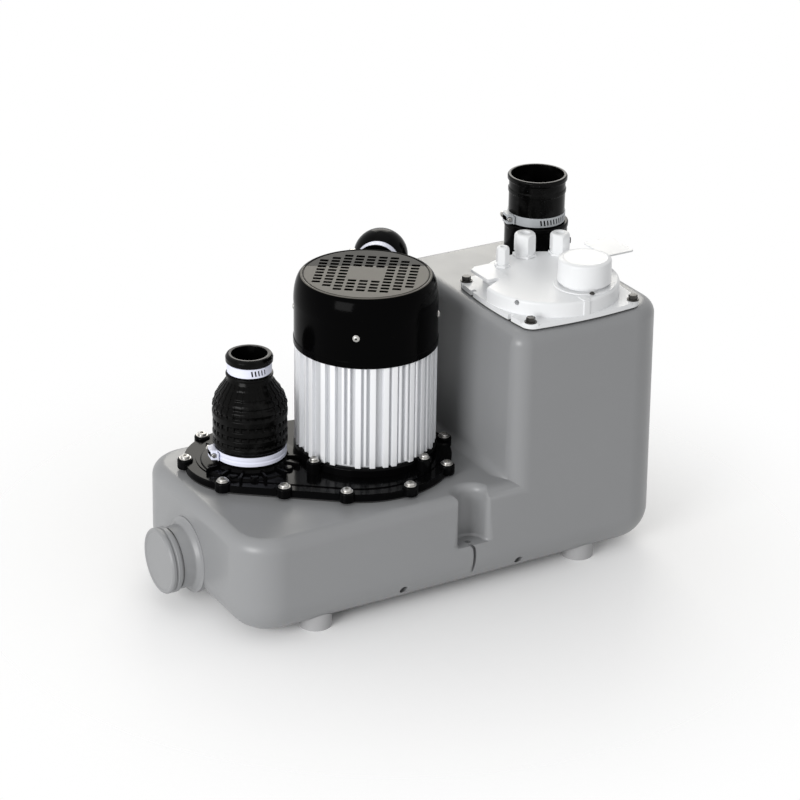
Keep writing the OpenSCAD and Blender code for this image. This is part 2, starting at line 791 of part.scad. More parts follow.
module cowl_screws() {
    color([0.85, 0.85, 0.88]) translate([motor_x, motor_y, housing_top + shield_t / 2])
        for (k = [0:3]) rotate(cowl_screw_turn + 90 * k) rotate([0, 90, 0])
            translate([0, 0, cowl_r]) {
                translate([0, 0, -10]) cylinder(r = 1.8, h = 10 + cut);
                cylinder(r = 4.2, h = 2.2);
            }
}

// Ring that the flap closes on, with the hinge pin held between two ears
module valve_seat() {
    color([0.3, 0.31, 0.33]) translate([discharge_x, discharge_y, 0]) {
        tube(spigot_r - 0.5, flap_r - 4, flap_z - 4, flap_z);
        for (s = [-1, 1]) translate([-flap_arm - 3, s * 8.5 - 1.5, flap_z - 1])
            cube([4.5, 3, 8]);
        translate([-flap_arm, 10, flap_z + flap_rise]) rotate([90, 0, 0])
            cylinder(r = flap_pin_r, h = 20);
    }
}

// Valve flap with its knuckle round the pin
module check_flap() {
    color([0.16, 0.16, 0.17]) translate([discharge_x, discharge_y, flap_z]) difference() {
        union() {
            translate([0, 0, seat_gap]) cylinder(r = flap_r, h = flap_t);
            translate([-flap_arm, 6.5, flap_rise]) rotate([90, 0, 0])
                cylinder(r = 3.6, h = 13);
            translate([-flap_arm, -6.5, seat_gap + 0.2]) cube([flap_arm, 13, flap_t]);
        }
        translate([-flap_arm, 8, flap_rise]) rotate([90, 0, 0])
            cylinder(r = flap_pin_r + flap_pin_gap, h = 16);
    }
}

// Outer outline of the discharge boot, from the deck to its mouth
function boot_outside() = let (r = spigot_r + boot_wall, m = boot_mouth_r)
    [[r, 0], [r, 23], [r + 1.5, 26], [r + 1.5, 44], [r, 50], [r, 55], [r + 1.8, 60],
     [r + 1.8, 64], [r, 67], [r - 1.5, 76], [r - 4, 84], [r - 9, 91.5], [m + 7.4, 98],
     [m + 4.6, 102], [m + 4.6, 105], [m + 7, 105.6], [m + 7, 108], [m + 4.4, 108.6],
     [m + 4.4, boot_h - 9.5], [m + 6.6, boot_h - 8.6], [m + 6.6, boot_h - 3.5],
     [m + 5.4, boot_h - 0.8], [m + 3.4, boot_h]];
function boot_inside() = let (r = spigot_r + boot_wall, m = boot_mouth_r)
    [[m, boot_h], [m, 104], [m + 3.6, 97], [r - 13, 90], [r - 8, 83], [r - 5.5, 75],
     [r - boot_wall + 1, 64], [r - boot_wall + 1, 35], [r - boot_wall, 34],
     [r - boot_wall, 0]];

module discharge_boot() {
    color([0.05, 0.05, 0.05]) translate([discharge_x, discharge_y, boot_z])
        turned(concat(boot_outside(), boot_inside()));
}

// Worm-drive clamp: a band and the housing of its screw
module clamp_band(r, turn) {
    difference() {
        union() {
            tube(r + band_t, r, 0, band_w);
            rotate(turn) translate([r + band_t - 0.4, -clamp_box / 2, -0.5])
                cube([7.4, clamp_box, band_w + 1]);
        }
        translate([0, 0, -cut]) cylinder(r = r, h = band_w + 2 * cut, $fn = round_fn);
        rotate(turn) translate([r + worm_out, clamp_box, band_w / 2]) rotate([90, 0, 0])
            cylinder(r = worm_r + shaft_gap, h = 2 * clamp_box);
    }
}

// Worm screw of a clamp, lying in the housing's bore
module worm_screw(r, turn) {
    rotate(turn) translate([r + worm_out, 0, band_w / 2]) rotate([90, 0, 0]) {
        translate([0, 0, -clamp_box / 2 - 1.5]) cylinder(r = worm_r, h = clamp_box + 2.5);
        difference() {
            translate([0, 0, clamp_box / 2 + seat_gap]) cylinder(r = 3.9, h = 4.2, $fn = 6);
            translate([-5, -0.6, clamp_box / 2 + 3]) cube([10, 1.2, 3]);
        }
    }
}

module lower_clamp() {
    color([0.84, 0.84, 0.88]) translate([discharge_x, discharge_y, lower_clamp_z])
        clamp_band(spigot_r + boot_wall, lower_worm_turn);
}

module lower_clamp_screw() {
    color([0.7, 0.71, 0.74]) translate([discharge_x, discharge_y, lower_clamp_z])
        worm_screw(spigot_r + boot_wall, lower_worm_turn);
}

module upper_clamp() {
    color([0.84, 0.84, 0.88]) translate([discharge_x, discharge_y, upper_clamp_z])
        clamp_band(boot_mouth_r + 4.4, upper_worm_turn);
}

module upper_clamp_screw() {
    color([0.7, 0.71, 0.74]) translate([discharge_x, discharge_y, upper_clamp_z])
        worm_screw(boot_mouth_r + 4.4, upper_worm_turn);
}

// Upright pipe of the rear inlet, with a ring that rests on the tank's socket
module rear_riser() {
    color([0.09, 0.09, 0.095]) translate([riser_x, riser_y, 0]) {
        tube(riser_r, riser_r - riser_wall, low_top - 24, riser_top);
        tube(riser_r + 5, riser_r - 1, low_top + socket_rise + 2,
            low_top + socket_rise + 2 + riser_ring_h);
    }
}

// Seal between the tank's socket and the riser's ring
module riser_seal() {
    color([0.12, 0.12, 0.12]) translate([riser_x, riser_y, 0])
        tube(riser_r + 4, riser_r + seat_gap, low_top + socket_rise,
            low_top + socket_rise + 2);
}

// Short elbow that turns on the riser; its mouth faces the turn given
module rear_elbow() {
    passage_r = riser_r - 8;
    color([0.05, 0.05, 0.05]) translate([riser_x, riser_y, 0]) rotate(elbow_turn)
        difference() {
            union() {
                translate([0, 0, elbow_z]) sphere(elbow_r, $fn = round_fn);
                translate([0, 0, elbow_skirt_top - cut])
                    cylinder(r = passage_r + elbow_wall, h = 20, $fn = round_fn);
                translate([0, 0, elbow_skirt_top - elbow_skirt_h])
                    cylinder(r = riser_r + elbow_wall, h = elbow_skirt_h, $fn = round_fn);
                translate([0, 0, elbow_z]) rotate([0, 90, 0])
                    cylinder(r = elbow_mouth_r, h = elbow_leg, $fn = round_fn);
                translate([elbow_leg - elbow_lip, 0, elbow_z]) rotate([0, 90, 0])
                    cylinder(r = elbow_mouth_r + 0.8, h = elbow_lip, $fn = round_fn);
            }
            translate([0, 0, elbow_z]) sphere(elbow_r - elbow_wall, $fn = round_fn);
            translate([0, 0, elbow_skirt_top - elbow_skirt_h - cut])
                cylinder(r = riser_r + shaft_gap, h = elbow_skirt_h - 5 + cut,
                    $fn = round_fn);
            translate([0, 0, riser_top - cut])
                cylinder(r = passage_r, h = elbow_z - riser_top, $fn = round_fn);
            translate([0, 0, elbow_z]) rotate([0, 90, 0])
                cylinder(r = elbow_mouth_r - elbow_wall, h = elbow_leg + cut,
                    $fn = round_fn);
        }
}

// Puts a child at the rear elbow's mouth, with Z along the mouth
module at_mouth(back) {
    translate([riser_x, riser_y, elbow_z]) rotate(elbow_turn)
        rotate([0, 90, 0]) translate([0, 0, elbow_leg - back]) children();
}

module rear_clamp() {
    color([0.84, 0.84, 0.88]) at_mouth(rear_band_back) clamp_band(elbow_mouth_r, rear_worm_turn);
}

module rear_clamp_screw() {
    color([0.7, 0.71, 0.74]) at_mouth(rear_band_back) worm_screw(elbow_mouth_r, rear_worm_turn);
}

// Black collar of the top inlet, with the neck that the sleeve fits on
module inlet_collar() {
    plug_turn = -32;
    color([0.06, 0.06, 0.065]) translate([inlet_x, inlet_y, 0]) {
        tube(inlet_collar_r, neck_r - 3, tall_top, tall_top + collar_h);
        tube(neck_r, neck_r - 3, tall_top + collar_h - cut, tall_top + collar_h + 28);
        rotate(plug_turn) translate([inlet_collar_r - 2, 0, tall_top + 14]) rotate([0, 90, 0])
            cylinder(r = 3.6, h = 6);
    }
}

module inlet_sleeve() {
    r = inlet_sleeve_r;
    low = collar_h + seat_gap;
    color([0.05, 0.05, 0.05]) translate([inlet_x, inlet_y, tall_top])
        turned([[r, low], [r, 76], [r + 0.9, 77], [r + 0.9, 80], [r, 81],
            [r, inlet_rise - 7], [r + 2, inlet_rise - 5], [r + 2, inlet_rise - 1],
            [r + 1, inlet_rise], [inlet_bore_r, inlet_rise],
            [inlet_bore_r, collar_h + 31], [neck_r, collar_h + 28.3], [neck_r, low]]);
}

module inlet_clamp() {
    color([0.62, 0.63, 0.65]) translate([inlet_x, inlet_y, inlet_clamp_z + 1])
        clamp_band(inlet_sleeve_r, inlet_worm_turn);
}

module inlet_clamp_screw() {
    color([0.5, 0.51, 0.53]) translate([inlet_x, inlet_y, inlet_clamp_z + 1])
        worm_screw(inlet_sleeve_r, inlet_worm_turn);
}

// Plan of the cover's flange, drawn in by a margin
module flange_outline(m) {
    translate([cover_x, cover_cy]) {
        circle(cover_bulge_r - m, $fn = round_fn);
        for (sx = [-1, 1], sy = [-1, 1])
            translate([sx * (cover_half - 14), sy * (cover_half - 14)]) circle(14 - m);
        square([2 * (cover_half - 14), 2 * (cover_half - m)], center = true);
        square([2 * (cover_half - m), 2 * (cover_half - 14)], center = true);
    }
}

module cover_gasket() {
    color([0.2, 0.2, 0.2]) translate([0, 0, tall_top]) difference() {
        linear_extrude(cover_gasket_t) flange_outline(1);
        translate([cover_x, cover_cy, -cut])
            cylinder(r = opening_r, h = cover_gasket_t + 2 * cut, $fn = round_fn);
        at(cover_points(), -cut) cylinder(r = deck_screw_r + 0.5, h = cover_gasket_t + 2 * cut);
    }
}

// White cover of the level switch: flange, drum, corner block and gland holes
module switch_cover() {
    drum = [cover_x, cover_cy, drum_z];
    color([0.96, 0.96, 0.95]) difference() {
        union() {
            translate([0, 0, flange_z]) linear_extrude(cover_flange_t) flange_outline(0);
            difference() {
                translate([cover_x, cover_cy, 0]) turned([[0, drum_z - cut],
                    [drum_r, drum_z - cut], [drum_r, drum_top - 3], [drum_r - 1, drum_top - 1],
                    [drum_r - 3, drum_top], [0, drum_top]]);
                translate(drum + [-drum_r - cut, -4, 0])
                    cube([drum_r - cover_bite_x + cut, 27, drum_h + cut]);
            }
            translate(drum + [-70, 23, -cut]) cube([44, 43, drum_h + cut]);
            translate(drum + [cover_rib_x, -drum_r - 4, -cut]) cube([4, 8, drum_h + cut - 1]);
            for (g = gland_places) translate([g[0], g[1], drum_z - cut])
                cylinder(r = g[2] + 1.5, h = drum_h + cut);
            translate([cap_x, cap_y, drum_top - cut])
                cylinder(r = cap_neck_r, h = cap_neck_h + cut, $fn = round_fn);
        }
        translate(drum) cylinder(r = cover_cavity_r, h = drum_h - cover_wall, $fn = round_fn);
        translate([cover_x, cover_cy, flange_z - cut])
            cylinder(r = box_r - box_wall, h = cover_flange_t + 2 * cut, $fn = round_fn);
        translate([cap_x, cap_y, drum_top - cover_wall - cut])
            cylinder(r = cap_neck_r - 10, h = cap_neck_h + cover_wall + 2 * cut,
                $fn = round_fn);
        translate([cap_x, cap_y, drum_top - 2.5]) rotate(cap_screw_turn)
            translate([cap_screw_out, 0, 0]) cylinder(r = 1.4, h = 2.5 + cut);
        for (g = gland_places) translate([g[0], g[1], drum_z])
            cylinder(r = g[2] - 4, h = drum_h + cut);
        at(cover_points(), flange_z - cut)
            cylinder(r = deck_screw_r + 0.5, h = cover_flange_t + 2 * cut);
        at(cover_points(), drum_z) cylinder(r = 8, h = drum_h + cut);
    }
}

module cover_screws() {
    color([0.1, 0.1, 0.1]) at(cover_points(), drum_z)
        headed_screw(deck_screw_r, cover_flange_t + cover_gasket_t + 12, 4.8, 6);
}

// White filter cap over the vent's neck
module filter_cap() {
    color([0.97, 0.97, 0.96]) translate([cap_x, cap_y, cap_z])
        turned([[0, cap_h], [cap_r - 4, cap_h], [cap_r - 1.2, cap_h - 1.2], [cap_r, cap_h - 4],
            [cap_r, 0], [cap_r - 2.5, 0], [cap_r - 2.5, cap_h - 3], [0, cap_h - 3]]);
}

module carbon_filter() {
    color([0.15, 0.15, 0.15]) translate([cap_x, cap_y, cap_z])
        cylinder(r = cap_r - 3, h = cap_h - 3, $fn = round_fn);
}

module cap_screw() {
    color([0.12, 0.12, 0.12]) translate([cap_x, cap_y, cap_z]) rotate(cap_screw_turn)
        translate([cap_screw_out, 0, -cap_neck_h]) headed_screw(1.4, 2.5, 2.3, 2.6);
}

// Cable glands: a hexagon body with a threaded foot through the cover
module gland_bodies() {
    color([0.95, 0.95, 0.94]) for (g = gland_places) translate([g[0], g[1], drum_top]) {
        cylinder(r = g[2], h = g[3] * 0.3, $fn = 6);
        translate([0, 0, -9]) cylinder(r = g[2] - 4, h = 10);
        cylinder(r = g[2] - 3.5, h = g[3] * 0.62);
    }
}

// Domed nuts of the cable glands, each closed by a thin blank until a cable is fitted
module gland_nuts() {
    color([0.97, 0.97, 0.97]) for (g = gland_places) {
        top = g[3] * 0.7;
        translate([g[0], g[1], drum_top + g[3] * 0.3]) difference() {
            turned([[0, 0], [g[2] - 0.6, 0], [g[2] - 0.9, g[3] * 0.45],
                [g[2] - 2.4, g[3] * 0.62], [g[2] * 0.6, top], [0, top]]);
            translate([0, 0, top - 3]) cylinder(r = g[2] * 0.42, h = 3 + cut);
            translate([0, 0, -cut]) cylinder(r = g[2] - 3.5, h = g[3] * 0.32 + cut + seat_gap);
        }
    }
}

// Flat finger tab on a stem at the right of the drum
module finger_tab() {
    color([0.96, 0.96, 0.95]) translate([cover_x + drum_r - 5, cover_cy - 1, drum_top]) {
        translate([-2, -4, 0]) cube([4, 8, 11]);
        translate([-2, -4, 11 - 0.2]) cube([39, 47, 2.4]);
    }
}

// Tub under the cover that keeps the switch gear dry
module switch_box() {
    color([0.75, 0.76, 0.76]) translate([cover_x, cover_cy, 0]) difference() {
        union() {
            translate([0, 0, box_floor])
                cylinder(r = box_r, h = flange_z - box_floor, $fn = round_fn);
            translate([0, 0, flange_z - 3])
                cylinder(r = opening_r - seat_gap, h = 3, $fn = round_fn);
        }
        translate([0, 0, box_floor + box_wall])
            cylinder(r = box_r - box_wall, h = flange_z - box_floor, $fn = round_fn);
        translate([tube_x - cover_x, tube_y - cover_cy, box_floor - cut])
            cylinder(r = tube_r - 3, h = box_wall + 2 * cut, $fn = round_fn);
    }
}

// Motor capacitor lying on the floor of the tub
module capacitor() {
    color([0.82, 0.83, 0.85]) translate([cover_x + 30, cover_cy - 30, diaphragm_z + 17])
        rotate([-90, 0, 0]) cylinder(r = 17, h = 60);
}

// Circuit board on four posts, with a few parts on it
module circuit_board() {
    color([0.1, 0.4, 0.22]) translate([cover_x - 48, cover_cy - 28, board_z]) {
        cube([44, 56, 1.6]);
        for (px = [4, 40], py = [4, 52])
            translate([px, py, diaphragm_z - board_z])
                cylinder(r = 2.2, h = board_z - diaphragm_z + 0.5);
        translate([6, 8, 1.6 - 0.2]) cube([16, 12, 8]);
        translate([28, 8, 1.6 - 0.2]) cube([10, 24, 7]);
    }
}

// Pressure tube that dips into the tank below the diaphragm
module dip_tube() {
    color([0.7, 0.71, 0.71]) translate([tube_x, tube_y, 0])
        tube(tube_r, tube_r - 3, dip_low, box_floor);
}

// Rubber diaphragm on the tub's floor above the dip tube, with one roll below it
module diaphragm() {
    roll = tube_r - 4;
    color([0.5, 0.18, 0.12]) translate([tube_x, tube_y, diaphragm_z])
        turned([[0, 0], [roll - 4, 0], [roll - 2.8, -1.6], [roll - 1.2, -1.6], [roll, 0],
            [tube_r + 2, 0], [tube_r + 2, 1], [0, 1]]);
}

// Ring that clamps the diaphragm and guides the plunger
module plunger_guide() {
    color([0.3, 0.3, 0.32]) translate([tube_x, tube_y, 0])
        tube(tube_r + 2, plunger_r + shaft_gap, diaphragm_z + 1, diaphragm_z + 9);
}

// Plunger that rides above the diaphragm and pushes the lever
module switch_plunger() {
    color([0.9, 0.9, 0.88]) translate([tube_x, tube_y, plunger_z]) {
        cylinder(r = plunger_r, h = 4, $fn = round_fn);
        cylinder(r = 2.5, h = plunger_h);
    }
}

// Lever that the plunger lifts, on its pin
module switch_lever() {
    color([0.78, 0.79, 0.8]) translate([tube_x, tube_y, lever_z]) difference() {
        union() {
            translate([-4, -3, -0.8]) cube([lever_len + 4, 6, 1.6]);
            translate([lever_len, 3, 0]) rotate([90, 0, 0]) cylinder(r = 2.6, h = 6);
        }
        translate([lever_len, 4, 0]) rotate([90, 0, 0])
            cylinder(r = lever_pin_r + flap_pin_gap, h = 8);
    }
}

// Snap switch beside the lever, with the lever's pin
module microswitch() {
    color([0.12, 0.12, 0.13]) translate([tube_x + lever_len, tube_y, lever_z]) {
        translate([-6, 4, diaphragm_z - lever_z])
            cube([12, 9, lever_z - diaphragm_z + 6]);
        translate([0, 5, 0]) rotate([90, 0, 0]) cylinder(r = lever_pin_r, h = 10);
    }
}

tank();
feet();
side_inlet_cap();
side_cap_ring();
deck_gasket();
deck_plate();
deck_screws();
volute_casing();
suction_grille();
impeller();
impeller_nut();
rotor_shaft();
rotor_core();
stator_core();
stator_windings();
lower_bearing();
upper_bearing();
shaft_seal();
motor_flange();
flange_screws();
motor_housing();
upper_end_shield();
cooling_fan();
fan_cowl();
cowl_screws();
valve_seat();
check_flap();
discharge_boot();
lower_clamp();
lower_clamp_screw();
upper_clamp();
upper_clamp_screw();
rear_riser();
riser_seal();
rear_elbow();
rear_clamp();
rear_clamp_screw();
inlet_collar();
inlet_sleeve();
inlet_clamp();
inlet_clamp_screw();
cover_gasket();
switch_cover();
cover_screws();
filter_cap();
carbon_filter();
cap_screw();
gland_bodies();
gland_nuts();
finger_tab();
switch_box();
capacitor();
circuit_board();
dip_tube();
diaphragm();
plunger_guide();
switch_plunger();
switch_lever();
microswitch();
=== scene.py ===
"""Sewage pump: the visual model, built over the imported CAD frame.

Every size below is in millimetres, in the frame of the CAD, and is turned into
metres when a piece becomes a Blender object.
"""
from __future__ import annotations

import logging
import math
from dataclasses import dataclass
from enum import Enum
from typing import Callable, Iterable, Sequence

import bmesh
import bpy
from mathutils import Matrix, Vector

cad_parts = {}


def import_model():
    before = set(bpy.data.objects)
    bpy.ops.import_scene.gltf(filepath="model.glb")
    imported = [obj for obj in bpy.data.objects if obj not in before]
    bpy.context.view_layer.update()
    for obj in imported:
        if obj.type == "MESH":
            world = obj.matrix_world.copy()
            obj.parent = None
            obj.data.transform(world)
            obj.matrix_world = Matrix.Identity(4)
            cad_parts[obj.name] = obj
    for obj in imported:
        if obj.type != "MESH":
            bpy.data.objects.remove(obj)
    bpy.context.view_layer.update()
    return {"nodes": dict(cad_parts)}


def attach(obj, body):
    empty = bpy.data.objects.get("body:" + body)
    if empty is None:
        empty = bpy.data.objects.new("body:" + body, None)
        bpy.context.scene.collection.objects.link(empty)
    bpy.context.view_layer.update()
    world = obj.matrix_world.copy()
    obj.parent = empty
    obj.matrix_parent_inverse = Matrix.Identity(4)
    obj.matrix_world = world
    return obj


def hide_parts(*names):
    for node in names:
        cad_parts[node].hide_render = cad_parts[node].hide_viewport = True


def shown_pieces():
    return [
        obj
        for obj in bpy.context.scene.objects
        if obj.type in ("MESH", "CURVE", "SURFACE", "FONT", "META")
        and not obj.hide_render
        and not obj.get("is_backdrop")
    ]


LOG = logging.getLogger("sewage_pump")
MM = 0.001
# Distances, in millimetres, under which vertices and edges count as one
MERGE = 1e-4
TINY = 1e-5
Point = tuple[float, float]
Triple = tuple[float, float, float]
Colour = Triple


class Body(str, Enum):
    """The CAD bodies that the scene's own pieces ride on."""

    STATION = "station"
    ELBOW = "elbow"
    LOWER_WORM = "lower_clamp_worm"
    UPPER_WORM = "upper_clamp_worm"
    INLET_WORM = "inlet_clamp_worm"
    REAR_WORM = "rear_clamp_worm"


class Operation(str, Enum):
    """How one solid is combined with another."""

    CUT = "DIFFERENCE"
    JOIN = "UNION"
    KEEP = "INTERSECT"


# Plane curves


def rounded_path(points: Sequence[Triple], closed: bool = False, steps: int = 6) -> list[Point]:
    """Rounds the corners of a polyline.

    Args:
        points: Corners as x, y and fillet radius.
        closed: Whether the last corner joins the first.
        steps: Segments in each fillet.

    Returns:
        The points of the rounded line, in order.
    """
    out: list[Point] = []
    count = len(points)
    for i, (x, y, r) in enumerate(points):
        here = Vector((x, y))
        if r <= 0 or (not closed and i in (0, count - 1)):
            out.append((x, y))
            continue
        before = Vector(points[i - 1][:2]) - here
        after = Vector(points[(i + 1) % count][:2]) - here
        before.normalize()
        after.normalize()
        half = before.angle(after) / 2
        reach = r / math.tan(half)
        centre = here + (before + after).normalized() * (r / math.sin(half))
        start = here + before * reach - centre
        turn = math.pi - 2 * half
        if before.x * after.y - before.y * after.x > 0:
            turn = -turn
        for k in range(steps + 1):
            a = turn * k / steps
            c, s = math.cos(a), math.sin(a)
            out.append((centre.x + start.x * c - start.y * s, centre.y + start.x * s + start.y * c))
    return out


def circle(r: float, centre: Point = (0, 0), steps: int = 64) -> list[Point]:
    """Points of a circle, counter-clockwise."""
    return [
        (
            centre[0] + r * math.cos(2 * math.pi * k / steps),
            centre[1] + r * math.sin(2 * math.pi * k / steps),
        )
        for k in range(steps)
    ]


def arc(centre: Point, r: float, start: float, end: float, steps: int) -> list[Point]:
    """Points along an arc, with both ends, for angles in degrees.

    Args:
        centre: Middle of the arc.
        r: Its radius.
        start: First angle.
        end: Last angle.
        steps: Segments along it.

    Returns:
        The points in order.
    """
    out = []
    for k in range(steps + 1):
        a = math.radians(start + (end - start) * k / steps)
        out.append((centre[0] + r * math.cos(a), centre[1] + r * math.sin(a)))
    return out


def rectangle(x0: float, y0: float, x1: float, y1: float, r: float, steps: int = 5) -> list[Point]:
    """Rounded rectangle, counter-clockwise."""
    return rounded_path([(x0, y0, r), (x1, y0, r), (x1, y1, r), (x0, y1, r)], True, steps)


def smooth_curve(points: Sequence[Point], steps: int = 5) -> list[Point]:
    """Passes a Catmull-Rom curve through the points.

    Args:
        points: Points that the curve goes through.
        steps: Segments between two of them.

    Returns:
        The points of the curve, with both ends.
    """
    out: list[Point] = []
    last = len(points) - 1
    for i in range(last):
        p = [Vector(points[min(max(i + d, 0), last)]) for d in (-1, 0, 1, 2)]
        for k in range(steps):
            t = k / steps
            q = (
                2 * p[1]
                + (p[2] - p[0]) * t
                + (2 * p[0] - 5 * p[1] + 4 * p[2] - p[3]) * t * t
                + (3 * p[1] - p[0] - 3 * p[2] + p[3]) * t * t * t
            ) / 2
            out.append((q.x, q.y))
    out.append(points[-1])
    return out


def quarter(steps: int) -> list[Point]:
    """Rise and inset along a unit quarter round that starts flat and ends upright.

    Args:
        steps: Segments along the round.

    Returns:
        Pairs of rise and inset, from 0, 1 to 1, 0.
    """
    turns = [math.radians(90 * k / steps) for k in range(steps + 1)]
    return [(1 - math.cos(a), 1 - math.sin(a)) for a in turns]


def at(x: float = 0, y: float = 0, z: float = 0, turn: float = 0) -> Matrix:
    """Placement by a shift in millimetres and a turn about Z in degrees."""
    return Matrix.Translation((x, y, z)) @ Matrix.Rotation(math.radians(turn), 4, "Z")


# Segments round the largest turned shapes, and turns that lay Z along X or Y
FINE = 128
LIE_X = Matrix.Rotation(math.radians(90), 4, "Y")
LIE_Y = Matrix.Rotation(math.radians(90), 4, "X")


class Solid:
    """A closed mesh that is built up in millimetres."""

    def __init__(self) -> None:
        """Starts with an empty mesh."""
        self.bm = bmesh.new()

    def _place(self, verts: Iterable[bmesh.types.BMVert], place: Matrix | None) -> None:
        """Moves new vertices into place.

        Args:
            verts: The vertices.
            place: Placement, or None to leave them.
        """
        if place is not None:
            bmesh.ops.transform(self.bm, matrix=place, verts=list(verts))

    def lathe(
        self, profile: Sequence[Point], place: Matrix | None = None, steps: int = 96, ring: bool = False
    ) -> "Solid":
        """Turns a profile of radius and height about Z.

        Args:
            profile: Points as radius and height, from the bottom up the outside.
            place: Placement of the finished shape.
            steps: Segments round the axis.
            ring: Whether the last point joins the first, as round a bore.

        Returns:
            The solid itself.
        """
        made = [self.bm.verts.new((r, 0, z)) for r, z in profile]
        edges = [self.bm.edges.new(pair) for pair in zip(made, made[1:])]
        if ring:
            edges.append(self.bm.edges.new((made[-1], made[0])))
        bmesh.ops.spin(
            self.bm, geom=made + edges, cent=(0, 0, 0), axis=(0, 0, 1), angle=2 * math.pi, steps=steps,
            use_merge=True, use_duplicate=False,
        )
        reach = self._connected(made[0])
        poles = [v for v in reach if math.hypot(v.co.x, v.co.y) < TINY]
        bmesh.ops.remove_doubles(self.bm, verts=poles, dist=MERGE)
        reach = self._connected(next(v for v in reach if v.is_valid))
        faces = dict.fromkeys(f for v in reach for f in v.link_faces)
        bmesh.ops.recalc_face_normals(self.bm, faces=list(faces))
        self._place(reach, place)
        return self

    def turned(
        self, corners: Sequence[Triple], place: Matrix | None = None, steps: int = 96, ring: bool = False,
        fillet: int = 4,
    ) -> "Solid":
        """Turns a profile about Z whose corners are rounded with a number of segments each."""
        return self.lathe(rounded_path(corners, ring, fillet), place, steps, ring)

    @staticmethod
    def _connected(start: bmesh.types.BMVert) -> list[bmesh.types.BMVert]:
        """Finds the shell that a vertex belongs to.

        Args:
            start: Any vertex of the shell.

        Returns:
            Every vertex joined to it by edges, in an order that doesn't change from run to run.
        """
        seen = {start: True}
        queue = [start]
        while queue:
            for edge in queue.pop().link_edges:
                for v in edge.verts:
                    if v not in seen:
                        seen[v] = True
                        queue.append(v)
        return list(seen)

    def slab(
        self, outline: Sequence[Point], z0: float, z1: float, top: float = 0, bottom: float = 0,
        place: Matrix | None = None, segments: int = 2,
    ) -> "Solid":
        """Extrudes an outline and rounds its rims.

        Args:
            outline: Counter-clockwise points.
            z0: Lower height.
            z1: Upper height.
            top: Radius of the upper rim.
            bottom: Radius of the lower rim.
            place: Placement of the finished shape.
            segments: Segments in each rounded rim.

        Returns:
            The solid itself.
        """
        low = [self.bm.verts.new((x, y, z0)) for x, y in outline]
        high = [self.bm.verts.new((x, y, z1)) for x, y in outline]
        for i, here in enumerate(low):
            j = (i + 1) % len(low)
            self.bm.faces.new((here, low[j], high[j], high[i]))
        floor = self.bm.faces.new(list(reversed(low)))
        roof = self.bm.faces.new(high)
        seed = low[0]
        for face, r in ((roof, top), (floor, bottom)):
            if r > 0:
                seed = self._bevel(list(face.edges), r, segments)
        self._place(self._connected(seed), place)
        return self

    def _bevel(self, edges: list[bmesh.types.BMEdge], r: float, segments: int) -> bmesh.types.BMVert:
        """Rounds edges.

        Args:
            edges: The edges.
            r: Radius of the rounding.
            segments: Segments across it.

        Returns:
            One of the new vertices.
        """
        made = bmesh.ops.bevel(
            self.bm, geom=edges, offset=r, offset_type="OFFSET", segments=segments, profile=0.5,
            affect="EDGES", material=-1, clamp_overlap=True,
        )
        return made["verts"][0]

    def box(self, low: Triple, high: Triple, edge: float = 0.4, place: Matrix | None = None) -> "Solid":
        """Box between two corners, with all its edges rounded.

        Args:
            low: Corner with the least x, y and z.
            high: The opposite corner.
            edge: Radius of the edges.
            place: Placement of the finished shape.

        Returns:
            The solid itself.
        """
        made = bmesh.ops.create_cube(self.bm, size=1)["verts"]
        size = [h - l for l, h in zip(low, high)]
        middle = [(h + l) / 2 for l, h in zip(low, high)]
        bmesh.ops.scale(self.bm, vec=size, verts=made)
        bmesh.ops.translate(self.bm, vec=middle, verts=made)
        seed = made[0]
        if edge > 0:
            seed = self._bevel(list(dict.fromkeys(e for v in made for e in v.link_edges)), edge, 2)
        self._place(self._connected(seed), place)
        return self

    def rod(
        self, r: float, z0: float, z1: float, edge: float = 0.3, place: Matrix | None = None, steps: int = 48
    ) -> "Solid":
        """Round bar with softened ends."""
        corners = [(0, z0, 0), (r, z0, edge), (r, z1, edge), (0, z1, 0)]
        return self.turned(corners, place, steps, fillet=3)

    def tube(
        self, outer: float, inner: float, z0: float, z1: float, edge: float = 0.3,
        place: Matrix | None = None, steps: int = 96,
    ) -> "Solid":
        """Round tube with softened rims."""
        corners = [(inner, z0, edge), (outer, z0, edge), (outer, z1, edge), (inner, z1, edge)]
        return self.turned(corners, place, steps, True, 3)

    def ball(self, r: float, place: Matrix | None = None) -> "Solid":
        """Smooth ball."""
        made = bmesh.ops.create_uvsphere(self.bm, u_segments=48, v_segments=24, radius=r)
        self._place(made["verts"], place)
        return self

    def loft(self, rings: Sequence[Sequence[Vector]]) -> "Solid":
        """Skins a stack of closed rings of equal length and closes both ends.

        Args:
            rings: Rings of points, from the bottom up.

        Returns:
            The solid itself.
        """
        rows = [[self.bm.verts.new(p) for p in ring] for ring in rings]
        for low, high in zip(rows, rows[1:]):
            for i in range(len(low)):
                j = (i + 1) % len(low)
                self.bm.faces.new((low[i], low[j], high[j], high[i]))
        self.bm.faces.new(list(reversed(rows[0])))
        self.bm.faces.new(rows[-1])
        return self

    def _mend(self) -> "Solid":
        """Merges doubled vertices and turns all normals outward."""
        bmesh.ops.remove_doubles(self.bm, verts=self.bm.verts, dist=MERGE)
        bmesh.ops.dissolve_degenerate(self.bm, edges=self.bm.edges, dist=TINY)
        bmesh.ops.recalc_face_normals(self.bm, faces=self.bm.faces)
        return self

    def moved(self, place: Matrix) -> "Solid":
        """Moves the whole solid."""
        bmesh.ops.transform(self.bm, matrix=place, verts=self.bm.verts)
        return self

